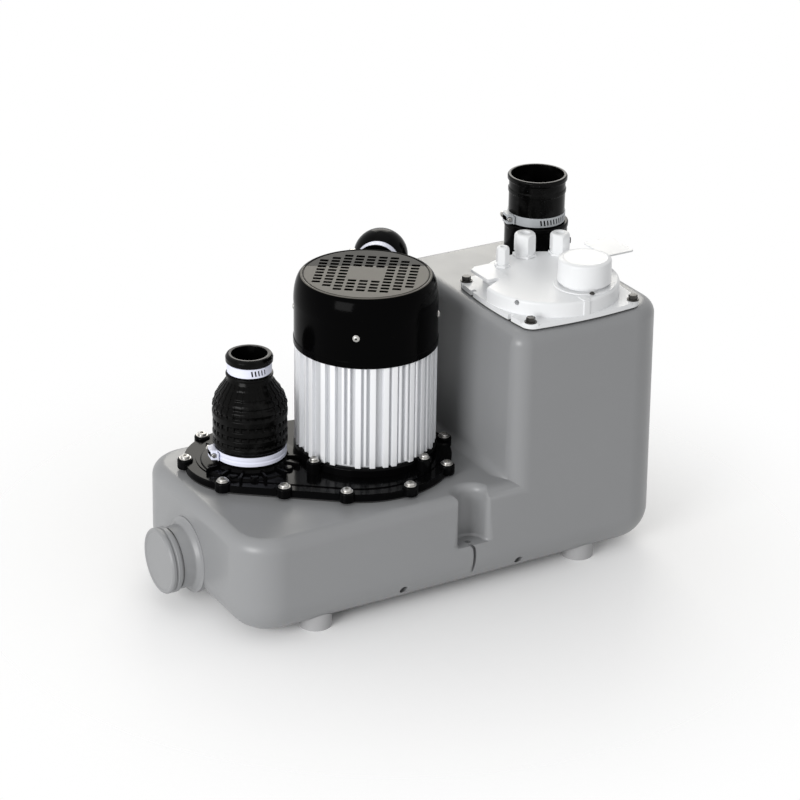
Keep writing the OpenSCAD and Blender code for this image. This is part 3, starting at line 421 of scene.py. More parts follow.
    def add(self, other: "Solid") -> "Solid":
        """Takes another solid's mesh in, without merging the two.

        Args:
            other: The solid that is taken in.

        Returns:
            The solid itself.
        """
        mesh = bpy.data.meshes.new("taken")
        other.bm.to_mesh(mesh)
        self.bm.from_mesh(mesh)
        bpy.data.meshes.remove(mesh)
        return self

    def combine(self, other: "Solid", operation: Operation = Operation.CUT) -> "Solid":
        """Cuts another solid away from this one, or joins the two into one skin.

        Args:
            other: The second solid.
            operation: How the two are combined.

        Returns:
            The solid itself, mended.
        """
        pair = []
        for solid in (self, other):
            mesh = bpy.data.meshes.new("operand")
            solid.bm.to_mesh(mesh)
            pair.append(bpy.data.objects.new("operand", mesh))
            bpy.context.scene.collection.objects.link(pair[-1])
        modifier = pair[0].modifiers.new("combine", "BOOLEAN")
        modifier.operation = operation.value
        modifier.solver = "EXACT"
        modifier.object = pair[1]
        graph = bpy.context.evaluated_depsgraph_get()
        mesh = bpy.data.meshes.new_from_object(pair[0].evaluated_get(graph))
        self.bm.clear()
        self.bm.from_mesh(mesh)
        for item in pair:
            data = item.data
            bpy.data.objects.remove(item)
            bpy.data.meshes.remove(data)
        bpy.data.meshes.remove(mesh)
        return self._mend()

    def piece(
        self, name: str, finish: "Finish", *nodes: str, body: Body = Body.STATION, smooth: float = 32
    ) -> bpy.types.Object:
        """Turns the solid into a finished object.

        Args:
            name: Name of the object.
            finish: Finish that it is given.
            *nodes: CAD nodes that it stands for.
            body: CAD body that it rides on.
            smooth: Largest angle, in degrees, that is still shaded smooth.

        Returns:
            The new object.
        """
        bmesh.ops.scale(self.bm, vec=(MM, MM, MM), verts=self.bm.verts)
        mesh = bpy.data.meshes.new(name)
        self.bm.to_mesh(mesh)
        self.bm.free()
        mesh.polygons.foreach_set("use_smooth", [True] * len(mesh.polygons))
        mesh.set_sharp_from_angle(angle=math.radians(smooth))
        mesh.materials.append(finish.material())
        made = bpy.data.objects.new(name, mesh)
        bpy.context.scene.collection.objects.link(made)
        normals = made.modifiers.new("even_normals", "WEIGHTED_NORMAL")
        normals.keep_sharp = True
        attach(made, body.value)
        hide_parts(*nodes)
        return made


# Finishes


class Wire:
    """An output socket that can be used in sums."""

    def __init__(self, graph: "Graph", socket: bpy.types.NodeSocket) -> None:
        """Wraps one output socket of a graph."""
        self.graph = graph
        self.socket = socket

    def _math(self, operation: str, other: "Wire | float", swap: bool = False) -> "Wire":
        """Adds one math node.

        Args:
            operation: Blender's name for the operation.
            other: Second value.
            swap: Whether the other value comes first.

        Returns:
            The node's output.
        """
        node = self.graph.tree.nodes.new("ShaderNodeMath")
        node.operation = operation
        for k, value in enumerate((other, self) if swap else (self, other)):
            self.graph.feed(node.inputs[k], value)
        return Wire(self.graph, node.outputs[0])

    def __add__(self, other: "Wire | float") -> "Wire":
        """Sum of two wires, or of a wire and a number."""
        return self._math("ADD", other)

    def __radd__(self, other: float) -> "Wire":
        """Sum of a number and this wire."""
        return self._math("ADD", other, True)

    def __sub__(self, other: "Wire | float") -> "Wire":
        """This wire less a wire or a number."""
        return self._math("SUBTRACT", other)

    def __rsub__(self, other: float) -> "Wire":
        """A number less this wire."""
        return self._math("SUBTRACT", other, True)

    def __mul__(self, other: "Wire | float") -> "Wire":
        """Product with a wire or a number."""
        return self._math("MULTIPLY", other)

    def __rmul__(self, other: float) -> "Wire":
        """Product of a number and this wire."""
        return self._math("MULTIPLY", other, True)

    def above(self, level: float, width: float) -> "Wire":
        """Ramp from 0 to 1 across a width centred on a level.

        Args:
            level: Middle of the ramp.
            width: Its width.

        Returns:
            The ramp.
        """
        node = self.graph.tree.nodes.new("ShaderNodeMapRange")
        node.interpolation_type = "SMOOTHSTEP"
        self.graph.feed(node.inputs["Value"], self)
        node.inputs["From Min"].default_value = level - width / 2
        node.inputs["From Max"].default_value = level + width / 2
        return Wire(self.graph, node.outputs[0])


class Graph:
    """Node tree of one material, with its shader already in place."""

    def __init__(self, name: str) -> None:
        """Starts a new material of a name."""
        self.material = bpy.data.materials.new(name)
        self.material.use_nodes = True
        self.tree = self.material.node_tree
        self.shader = self.tree.nodes["Principled BSDF"]

    def feed(self, socket: bpy.types.NodeSocket, value: "Wire | float | Sequence[float]") -> None:
        """Links a wire to a socket, or writes a constant on it.

        Args:
            socket: Input that is fed.
            value: Wire or constant.
        """
        if isinstance(value, Wire):
            self.tree.links.new(value.socket, socket)
        else:
            socket.default_value = value

    def node(
        self, kind: str, output: int | str = 0, inputs: dict | None = None, **settings: object
    ) -> Wire:
        """Adds any other node.

        Args:
            kind: Blender's name for the node type.
            output: Output that is wanted.
            inputs: Values or wires, by socket name or index.
            **settings: Properties of the node.

        Returns:
            The chosen output.
        """
        made = self.tree.nodes.new(kind)
        for key, value in settings.items():
            setattr(made, key, value)
        for key, value in (inputs or {}).items():
            self.feed(made.inputs[key], value)
        return Wire(self, made.outputs[output])

    def place(self) -> Wire:
        """Object coordinates, in metres."""
        return self.node("ShaderNodeTexCoord", "Object")

    def noise(self, scale: float, detail: float = 3, stretch: Sequence[float] = (1, 1, 1)) -> Wire:
        """Noise from about 0 to 1, stretched along the axes.

        Args:
            scale: Cells in a metre.
            detail: Octaves.
            stretch: Factors along x, y and z.

        Returns:
            The noise.
        """
        spread = self.node("ShaderNodeMapping", inputs={"Vector": self.place(), "Scale": stretch})
        return self.node(
            "ShaderNodeTexNoise",
            inputs={"Vector": spread, "Scale": scale, "Detail": detail, "Roughness": 0.55},
        )

    def mix(self, factor: Wire, a: Colour | Wire, b: Colour | Wire) -> Wire:
        """Colour between two colours.

        Args:
            factor: Share of the second colour.
            a: First colour.
            b: Second colour.

        Returns:
            The colour.
        """
        made = self.tree.nodes.new("ShaderNodeMix")
        made.data_type = "RGBA"
        self.feed(made.inputs[0], factor)
        for socket, value in ((made.inputs[6], a), (made.inputs[7], b)):
            self.feed(socket, value if isinstance(value, Wire) else (*value, 1))
        return Wire(self, made.outputs[2])

    def bump(self, height: Wire, depth: float) -> Wire:
        """Surface relief of a depth in metres."""
        return self.node("ShaderNodeBump", inputs={"Height": height, "Distance": depth, "Strength": 1})

    def set(self, **values: "Wire | float | Sequence[float]") -> None:
        """Sets inputs of the shader, with _ in place of spaces."""
        for key, value in values.items():
            self.feed(self.shader.inputs[key.replace("_", " ")], value)


def shade(colour: Colour, factor: float) -> Colour:
    """Colour made darker or lighter."""
    return tuple(min(1.0, c * factor) for c in colour)


@dataclass(frozen=True)
class Finish:
    """Base of the finishes: a colour that varies softly over the piece."""

    slot: str
    name: str
    colour: Colour
    roughness: float = 0.4

    def material(self) -> bpy.types.Material:
        """The finish as a material, made once."""
        known = bpy.data.materials.get(self.name)
        if known is not None:
            return known
        graph = Graph(self.name)
        self.build(graph)
        return graph.material

    def build(self, graph: Graph) -> None:
        """Wires the shader."""
        raise NotImplementedError


@dataclass(frozen=True)
class Moulded(Finish):
    """Moulded plastic: faint mottling, fine grain and uneven gloss."""

    mottle: float = 0.05
    grain: float = 0.00004
    grain_scale: float = 900
    gloss_spread: float = 0.08
    specular: float = 0.5
    cloud_scale: float = 9
    gloss_scale: float = 35

    def build(self, graph: Graph) -> None:
        """Wires colour, gloss and grain."""
        cloud = graph.noise(self.cloud_scale, 4)
        fine = graph.noise(self.grain_scale, 2)
        gloss = graph.noise(self.gloss_scale, 3) * self.gloss_spread * 2
        graph.set(
            Base_Color=graph.mix(
                cloud, shade(self.colour, 1 - self.mottle), shade(self.colour, 1 + self.mottle)
            ),
            Roughness=gloss + (self.roughness - self.gloss_spread),
            Normal=graph.bump(fine, self.grain),
            Specular_IOR_Level=self.specular,
        )


@dataclass(frozen=True)
class Rubber(Moulded):
    """Moulded rubber: a pale bloom on the high spots and a wavy skin."""

    bloom: float = 0.006
    bloom_scale: float = 60
    bloom_level: float = 0.62
    wave_scale: float = 160

    def build(self, graph: Graph) -> None:
        """Wires the bloom over the moulded finish."""
        super().build(graph)
        patches = graph.noise(self.bloom_scale, 5).above(self.bloom_level, 0.3)
        graph.set(
            Base_Color=graph.mix(patches, self.colour, tuple(c + self.bloom for c in self.colour)),
            Normal=graph.bump(graph.noise(self.wave_scale, 3), self.grain * 3),
        )


@dataclass(frozen=True)
class Metal(Finish):
    """Bare or plated metal with streaks along one direction."""

    streaks: Triple = (1, 1, 0.05)
    spread: float = 0.12
    relief: float = 0.00003
    metallic: float = 1.0
    scale: float = 260
    gloss_spread: float = 0.08

    def build(self, graph: Graph) -> None:
        """Wires the streaks into colour, gloss and relief."""
        lines = graph.noise(self.scale, 4, self.streaks)
        graph.set(
            Base_Color=graph.mix(
                lines, shade(self.colour, 1 - self.spread), shade(self.colour, 1 + self.spread / 2)
            ),
            Metallic=self.metallic,
            Roughness=lines * (2 * self.gloss_spread) + (self.roughness - self.gloss_spread),
            Normal=graph.bump(lines, self.relief),
        )


@dataclass(frozen=True)
class Wound(Finish):
    """Lacquered copper wire, as rings of fine turns."""

    turn_scale: float = 220
    metallic: float = 0.7
    relief: float = 0.0003

    def build(self, graph: Graph) -> None:
        """Wires the turns as a wave."""
        wave = graph.node(
            "ShaderNodeTexWave",
            "Fac",
            {"Vector": graph.place(), "Scale": self.turn_scale, "Distortion": 2},
            wave_type="RINGS",
            rings_direction="Z",
        )
        graph.set(
            Base_Color=graph.mix(wave, shade(self.colour, 0.6), self.colour),
            Metallic=self.metallic,
            Roughness=self.roughness,
            Normal=graph.bump(wave, self.relief),
        )


@dataclass(frozen=True)
class Board(Finish):
    """Circuit board with a pattern of tracks under green lacquer."""

    cell_scale: float = 260

    def build(self, graph: Graph) -> None:
        """Wires square cells as tracks."""
        cells = graph.node(
            "ShaderNodeTexVoronoi",
            "Distance",
            {"Vector": graph.place(), "Scale": self.cell_scale},
            distance="CHEBYCHEV",
        )
        graph.set(
            Base_Color=graph.mix(cells.above(0.35, 0.1), shade(self.colour, 1.5), self.colour),
            Roughness=self.roughness,
        )


@dataclass(frozen=True)
class GrilleTop(Moulded):
    """Black cowl moulding, with a painted olive-grey reflection on the near half of its flat top.

    Heights and lengths are in metres, as the shader sees them.
    """

    painted_reflection_colour: Colour = (0.15, 0.142, 0.126)
    level: float = 0.3532
    across: tuple[float, float] = (0.476, 0.879)
    reach: float = 0.0155
    level_blur: float = 0.0004
    reach_blur: float = 0.0012

    def build(self, graph: Graph) -> None:
        """Wires the painted reflection on the near half of the top over the gloss."""
        super().build(graph)
        parts = [
            graph.node("ShaderNodeSeparateXYZ", k, {"Vector": graph.place()}) for k in range(3)
        ]
        face = parts[2].above(self.level, self.level_blur)
        depth = parts[0] * self.across[0] + parts[1] * self.across[1]
        near = 1 - depth.above(self.reach, self.reach_blur)
        # Painted reflection: the near half of the flat top is coloured olive-grey where a reflection of light
        # would fall.
        graph.set(Base_Color=graph.mix(face * near, self.colour, self.painted_reflection_colour))


# Stretches of the metals' streaks
UPRIGHT = (1, 1, 0.03)
ROUND = (0.05, 0.05, 1)
EVEN = (1, 1, 1)


class Finishes:
    """The finishes of the pump, by what they are used for.

    Moulded: slot, name, colour, roughness, mottle, grain and grain scale.
    Metal: slot, name, colour, roughness, streaks, spread and relief.
    """

    TANK = Moulded("tank_plastic", "tank_grey", (0.262, 0.266, 0.272), 0.36, 0.02, 2e-5, 700, specular=0.45)
    BLACK = Moulded("black_plastic", "black_gloss", (0.002, 0.002, 0.0022), 0.14, 0.2, 1e-5, specular=0.04)
    # The cowl's finish carries a painted olive-grey reflection on the near half of its flat top.
    COWL = GrilleTop("black_plastic", "cowl_black", (0.001, 0.001, 0.0011), 0.14, 0.2, 1e-5, specular=0.02)
    BOOT = Rubber("boot_rubber", "boot_black", (0.0015, 0.0015, 0.0014), 0.2, 0.2, 2e-5, 500, specular=0.07)
    SEAL = Rubber("seal_rubber", "seal_black", (0.015, 0.015, 0.015), 0.55, 0.2, 3e-5, 500)
    FOOT = Rubber("foot_rubber", "foot_grey", (0.37, 0.37, 0.375), 0.6, 0.05, 3e-5, 500)
    FINS = Metal("cast_aluminium", "fin_aluminium", (0.9, 0.91, 0.93), 0.42, UPRIGHT, 0.06, metallic=0.2)
    # Painted shade: the same cast aluminium as the fins, made darker to stand for the shade in the gaps
    # between the fins.
    CORE_CAST_SHADE = Metal("cast_aluminium", "core_aluminium_painted_shade", (0.58, 0.59, 0.61), 0.5, UPRIGHT, 0.1, metallic=0.2)
    CAN = Metal("cast_aluminium", "can_aluminium", (0.75, 0.76, 0.78), 0.3)
    CLAMP = Metal("clamp_steel", "clamp_lilac", (0.8, 0.82, 0.95), 0.4, ROUND, 0.05, metallic=0.0)
    DULL_CLAMP = Metal("clamp_steel", "clamp_grey", (0.44, 0.46, 0.48), 0.4, ROUND, 0.06, metallic=0.1)
    SCREW = Metal("screw_steel", "screw_zinc", (0.5, 0.49, 0.47), 0.36, EVEN, 0.25)
    SHAFT = Metal("shaft_steel", "ground_steel", (0.7, 0.71, 0.73), 0.22, (0.1, 0.1, 1))
    CORE = Metal(
        "lamination_steel", "laminations", (0.35, 0.35, 0.37), 0.45, (0.02, 0.02, 1), 0.3, 2e-4, scale=1500
    )
    DARK = Metal("dark_steel", "dark_screw", (0.035, 0.033, 0.03), 0.35, EVEN, 0.3, metallic=0.4)
    COPPER = Wound("copper_wire", "copper_turns", (0.55, 0.22, 0.08), 0.35)
    CASING = Moulded("casing_plastic", "casing_grey", (0.035, 0.037, 0.04), 0.4, 0.1, 5e-5)
    WHITE = Moulded("white_plastic", "cover_white", (0.84, 0.85, 0.86), 0.32, 0.015, 1e-5, 400, specular=0.25)
    BOX = Moulded("box_plastic", "box_grey", (0.48, 0.49, 0.49), 0.45, 0.04, 3e-5)
    CARBON = Moulded("filter_carbon", "carbon_black", (0.012, 0.012, 0.012), 0.9, 0.4, 6e-4, 350)
    BOARD = Board("board_resin", "board_green", (0.02, 0.12, 0.05), 0.35)
    DIAPHRAGM = Rubber("diaphragm_rubber", "diaphragm_red", (0.2, 0.03, 0.015), 0.5, 0.1)


# The pump's pieces, with the plan places and heights that several of them share

MOTOR_AXIS: Point = (-28.25, 8)
BOOT_AXIS: Point = (-158.25, 42)
LOW_TOP = 128
TALL_TOP = 306
DECK_TOP = 139


def copies(pattern: Solid, places: Iterable[Matrix]) -> Solid:
    """One solid with a copy of a pattern at each place.

    Args:
        pattern: Solid that is copied, and stays as it is.
        places: Placement of each copy.

    Returns:
        The new solid.
    """
    out = Solid()
    for place in places:
        out.add(Solid().add(pattern).moved(place))
    return out


def domed_screw(head_r: float, head_h: float) -> Solid:
    """Domed screw head with a hexagon recess, on a washer that lies at z 0.

    Args:
        head_r: Radius of the head.
        head_h: Its height.

    Returns:
        The screw head.
    """
    key_r, washer_r, hole_r = head_r * 0.45, head_r * 1.28, head_r * 0.6
    dome = [(0, 0.2, 0), (head_r, 0.2, 0), (head_r, head_h * 0.85, head_h * 0.4), (0, head_h + 0.3, 0)]
    head = Solid().turned(dome, steps=40, fillet=6)
    head.combine(Solid().slab(circle(key_r, steps=6), head_h - 2, head_h + 4))
    return head.add(Solid().tube(washer_r, hole_r, 0, 1.2, 0.35, steps=40))


@dataclass
class TankShell:
    """Two-level moulded tank with its front notch, mould marks and side spigot.

    The notch is the x of its middle and its half width. The groove and the drain
    hole are measured from that middle, along the front face.
    """

    x0: float = -255.75
    x1: float = 291.25
    half: float = 139
    tall_x: float = 80.25
    z0: float = 8
    low_top: float = LOW_TOP
    tall_top: float = TALL_TOP
    corner_r: float = 50
    tall_edge_r: float = 24
    top_r: float = 15
    bottom_r: float = 40
    corner_steps: int = 14
    tuck: float = 70
    tuck_taper: float = 30
    draft: float = 0.75
    cove: float = 12
    cove_end: float = 125.5
    cove_fade: float = 24
    cove_parts: int = 48
    notch: Point = (30.6, 18)
    notch_floor: float = 64.5
    notch_lean: float = 0.9
    notch_lip: float = 7.5
    notch_rim: float = 9
    dimples: tuple[Point, ...] = ((-57, 28), (95, 27))
    dimple_r: float = 5
    groove: tuple[Point, ...] = ((-4, 65.5), (0.5, 61), (2.2, 52), (1.2, 32), (-1.6, 5))
    groove_half: float = 2.1
    hole: Point = (-1.2, 12)
    hole_r: float = 3.6
    side: Point = (10, 57)
    side_r: float = 35.5

    def _low_plan(self, d: float) -> list[Point]:
        """Plan of the low level, whose right end hides in the tall block.

        Args:
            d: Inset from the level's outline.

        Returns:
            The plan, counter-clockwise.
        """
        y = self.half - d
        r = self.corner_r - d
        seam = self.tall_x + self.tall_edge_r - 0.3
        end, inner = seam + self.tuck, y - self.tuck_taper
        corners = [(self.x0 + d, -y, r), (seam, -y, 0), (end, -inner, 0)]
        corners += [(end, inner, 0), (seam, y, 0), (self.x0 + d, y, r)]
        return rounded_path(corners, True, self.corner_steps)

    def _tall_plan(self, d: float) -> list[Point]:
        """Plan of the tall block.

        Args:
            d: Inset from the block's outline.

        Returns:
            The plan, counter-clockwise.
        """
        y = self.half - d
        left = max(self.tall_edge_r - d, 4)
        right = self.corner_r - d
        x0, x1 = self.tall_x + d, self.x1 - d
        corners = [(x0, -y, left), (x1, -y, right), (x1, y, right), (x0, y, left)]
        return rounded_path(corners, True, self.corner_steps)

    def _slope(self) -> float:
        """Inset of the walls for each millimetre of height."""
        return math.tan(math.radians(self.draft))

    def _block(self, plan: Callable[[float], list[Point]], z0: float, z1: float) -> Solid:
        """Stack of plans with a large bottom radius and a smaller top one.

        Args:
            plan: Plan at an inset.
            z0: Lower height.
            z1: Upper height.

        Returns:
            The block.
        """
        levels = [(z0 + self.bottom_r * u, self.bottom_r * v) for u, v in quarter(12)]
        levels += [(z1 - self.top_r * v, self.top_r * u) for u, v in quarter(8)]
        rings = []
        for z, inset in levels:
            ring = plan(inset + self._slope() * (z - self.z0))
            rings.append([Vector((x, y, z)) for x, y in ring])
        return Solid().loft(rings)

    def _close_plan(self, d: float) -> list[Point]:
        """Plan of the tall block, with more points along its left side.

        Args:
            d: Inset from the block's outline.

        Returns:
            The plan, counter-clockwise.
        """
        plan = self._tall_plan(d)
        out: list[Point] = []
        for (x, y), (to_x, to_y) in zip(plan, plan[1:] + plan[:1]):
            left = x < self.tall_x + self.corner_r and abs(to_y - y) > self.half / 2
            parts = self.cove_parts if left else 1
            for k in range(parts):
                out.append((x + (to_x - x) * k / parts, y + (to_y - y) * k / parts))
        return out

    def _cove(self) -> Solid:
        """Concave fillet where the tall block rises from the low top, fading at both ends."""
        levels = [(self.low_top - 2, self.cove)]
        levels += [(self.low_top + self.cove * u, self.cove * v) for u, v in quarter(8)]
        levels.append((self.low_top + self.cove + 1, -0.4))
        rings = []
        for z, out in levels:
            inset = self._slope() * (z - self.z0)
            ring = []
            for here, far in zip(self._close_plan(inset), self._close_plan(inset - out)):
                share = 1 if out < 0 else min(max((self.cove_end - abs(here[1])) / self.cove_fade, 0), 1)
                share = share * share * (3 - 2 * share)
                ring.append(Vector((*here, z)).lerp(Vector((*far, z)), share))
            rings.append(ring)
        plan = self._low_plan(self.top_r - 1 + self._slope() * (self.low_top - self.z0))
        limit = Solid().slab(plan, self.low_top - 1, self.low_top + self.cove + 6)
        return Solid().loft(rings).combine(limit, Operation.KEEP)

    def _notch_space(self) -> Solid:
        """Half-round space of the notch, with softened lips."""
        x, width = self.notch
        lip, rim = self.notch_lip, self.notch_rim
        front = -self.half + self.notch_lean

        def plan(grown: float) -> list[Point]:
            """Plan of the space, grown by an amount.

            Args:
                grown: Amount that is added to its radius.

            Returns:
                The plan, counter-clockwise.
            """
            r = width + grown
            path = [(x - r - lip - 8, front - 12), (x + r + lip + 8, front - 12)]
            path += arc((x + r + lip, front + lip), lip, -90, -180, 5)
            path += arc((x, front + lip), r, 0, 180, 28)
            path += arc((x - r - lip, front + lip), lip, 0, -90, 5)
            return path

        levels = [(self.notch_floor, -3), (self.notch_floor + 1, -1.2), (self.notch_floor + 3.5, 0)]
        levels += [(self.low_top - rim * v, rim * u) for u, v in quarter(7)]
        levels.append((self.low_top + 20, rim + 0.2))
        return Solid().loft([[Vector((px, py, z)) for px, py in plan(g)] for z, g in levels])

    def _marks(self) -> Solid:
        """Mould dimples on the front and the curved groove below the notch."""
        marks = Solid()
        for x, z in self.dimples:
            marks.rod(self.dimple_r, -14, 7, 0, at(x, -self.half + 2, z) @ LIE_Y, 40)
        track, half = smooth_curve(self.groove, 4), self.groove_half
        ribbon = [(u - half, w) for u, w in track] + [(u + half, w) for u, w in reversed(track)]
        return marks.slab(ribbon, -7, 12, place=at(self.notch[0], -self.half) @ LIE_Y)

    def build(self) -> None:
        """Makes the tank as one skin."""
        tank = self._block(self._tall_plan, self.z0, self.tall_top)
        low = self._block(self._low_plan, self.z0 + 0.03, self.low_top)
        tank.combine(low, Operation.JOIN)
        tank.combine(self._cove(), Operation.JOIN)
        tank.combine(self._notch_space())
        tank.combine(self._marks())
        spot = at(self.notch[0] + self.hole[0], -self.half + self.hole[1])
        floor = self.notch_floor
        tank.combine(Solid().rod(self.hole_r, floor - 8, floor + 9, 0.8, spot))
        r = self.side_r
        spigot = [(0, 6, 0), (r + 8.5, 6, 0), (r + 8.5, -0.2, 0.4), (r + 5.2, -1.2, 4), (r + 0.9, -5.5, 4)]
        spigot += [(r, -19.5, 0.6), (0, -19.5, 0)]
        tank.add(Solid().turned(spigot, at(self.x0, *self.side) @ LIE_X))
        tank.piece("tank_shell", Finishes.TANK, "tank", smooth=40)


@dataclass
class SideInlet:
    """Cap on the side inlet, with its sealing ring."""

    x: float = -291.25
    y: float = 10
    z: float = 57
    r: float = 37.8
    depth: float = 13
    ring_gap: float = 3.6
    ring_wall: float = 2.8

    def build(self) -> None:
        """Makes the cap and the ring."""
        r, depth = self.r, self.depth
        face = [(0, 1.2, 0), (r - 5, 1.2, 1.2), (r - 3.6, 0.2, 1), (r - 1.4, 0.2, 1.2), (r, 2.4, 1.2)]
        face += [(r, 5.4, 0.9), (r - 1.6, 6.2, 0.6), (r - 1.6, 7.6, 0.6), (r, 8.4, 0.9)]
        face += [(r, depth, 0.8), (0, depth, 0)]
        cap = Solid().turned(face, at(self.x, self.y, self.z) @ LIE_X, FINE)
        cap.piece("side_cap", Finishes.TANK, "side_inlet_cap")
        outer = r - self.ring_gap
        back = at(self.x + depth, self.y, self.z) @ LIE_X
        ring = Solid().tube(outer, outer - self.ring_wall, 0, 3, 0.5, back)
        ring.piece("side_ring", Finishes.FOOT, "side_cap_ring")


@dataclass
class Deck:
    """Pear-shaped deck plate with its gasket, lobes, ribs and screws."""

    big: Point = (-42.25, -1)
    big_r: float = 107
    small: Point = (-152.25, 48)
    small_r: float = 78
    z: float = 130
    top: float = DECK_TOP
    lobe_r: float = 9
    lobe_h: float = 3
    motor: Point = MOTOR_AXIS
    spigot: Point = BOOT_AXIS
    spigot_r: float = 36.5
    spigot_h: float = 32
    ear_r: float = 8.5
    ear_out: float = 88
    ear_turn: float = -160
    big_turns: tuple[float, ...] = (-126, -86, -48, -8, 32, 70)
    small_turns: tuple[float, ...] = (112, 160, -143)
    edge_shares: tuple[float, float] = (0.43, 0.35)
    rib_turns: tuple[float, ...] = (-172, -150, -128, -100, -76, -50, -30, 20, 60, 120)
    pad_turns: tuple[float, ...] = (-138, -112, -62, 90)
    pad_out: float = 52
    head: Point = (5.4, 3.9)

    def _axis(self) -> tuple[float, float]:
        """Works out how the pear lies.

        Returns:
            Direction from the small end to the big one, and the lean of the sides, in degrees.
        """
        dx = self.big[0] - self.small[0]
        dy = self.big[1] - self.small[1]
        lean = math.asin((self.big_r - self.small_r) / math.hypot(dx, dy))
        return math.degrees(math.atan2(dy, dx)), math.degrees(lean)

    def outline(self, inset: float) -> list[Point]:
        """Plan of the plate, drawn in by an inset.

        Args:
            inset: Distance from the plate's rim.

        Returns:
            The plan, counter-clockwise.
        """
        turn, lean = self._axis()
        side = 90 + lean
        return arc(self.big, self.big_r - inset, turn - side, turn + side, 80) + arc(
            self.small, self.small_r - inset, turn + side, turn + 360 - side, 56
        )

    @staticmethod
    def _on(centre: Point, r: float, turn: float) -> Point:
        """Point at a turn round a centre."""
        return arc(centre, r, turn, turn, 1)[0]

    def screw_points(self) -> list[Point]:
        """Plan places of the deck screws."""
        turn, lean = self._axis()
        points = [self._on(self.big, self.big_r - 1, t) for t in self.big_turns]
        points += [self._on(self.small, self.small_r - 1, t) for t in self.small_turns]
        for side, share in zip((-1, 1), self.edge_shares):
            t = turn + side * (90 + lean)
            a = self._on(self.small, self.small_r - 1, t)
            b = self._on(self.big, self.big_r - 1, t)
            points.append((a[0] + (b[0] - a[0]) * share, a[1] + (b[1] - a[1]) * share))
        return points

    def ear_points(self) -> list[Point]:
        """Plan places of the motor's screw ears."""
        return [self._on(self.motor, self.ear_out, self.ear_turn + 90 * k) for k in range(4)]

    def _add_spigot(self, plate: Solid) -> None:
        """Adds the boot's spigot to the plate, with the ribs and pads round it.

        Args:
            plate: The deck plate.
        """
        r, h = self.spigot_r, self.spigot_h
        foot = [(r - 4, 0, 0), (58, 0, 0), (56, 2.6, 1), (44, 3.4, 2), (r, 9, 2), (r, h, 0.8)]
        plate.turned(foot + [(r - 4, h, 0.8)], at(*self.spigot, self.top), ring=True, fillet=3)
        for turn in self.rib_turns:
            plate.box((42, -1.5, -1), (60, 1.5, 6.2), 0.6, at(*self.spigot, self.top, turn))
        for turn in self.pad_turns:
            plate.rod(5, -1, 4.6, 1, at(*self._on(self.spigot, self.pad_out, turn), self.top), 32)

    def build(self) -> None:
        """Makes the gasket, the plate and the screws."""
        gasket = Solid().slab(self.outline(0.5), self.z - 2, self.z)
        gasket.piece("deck_seal", Finishes.SEAL, "deck_gasket")
        plate = Solid().slab(self.outline(0), self.z, self.top, top=2, segments=3)
        plate.slab(self.outline(13), self.top - 1, self.top + 1.2, top=0.8)
        head_z = self.top + self.lobe_h
        for x, y in self.screw_points():
            plate.rod(self.lobe_r, self.z + 0.2, head_z, 1.6, at(x, y), 40)
        for x, y in self.ear_points():
            plate.rod(self.ear_r, self.z + 1, self.top, 0.5, at(x, y), 40)
        self._add_spigot(plate)
        plate.piece("deck_moulding", Finishes.BLACK, "deck_plate")
        heads = copies(domed_screw(*self.head), (at(x, y, head_z, 17 * x) for x, y in self.screw_points()))
        heads.piece("deck_screw_heads", Finishes.SCREW, "deck_screws")


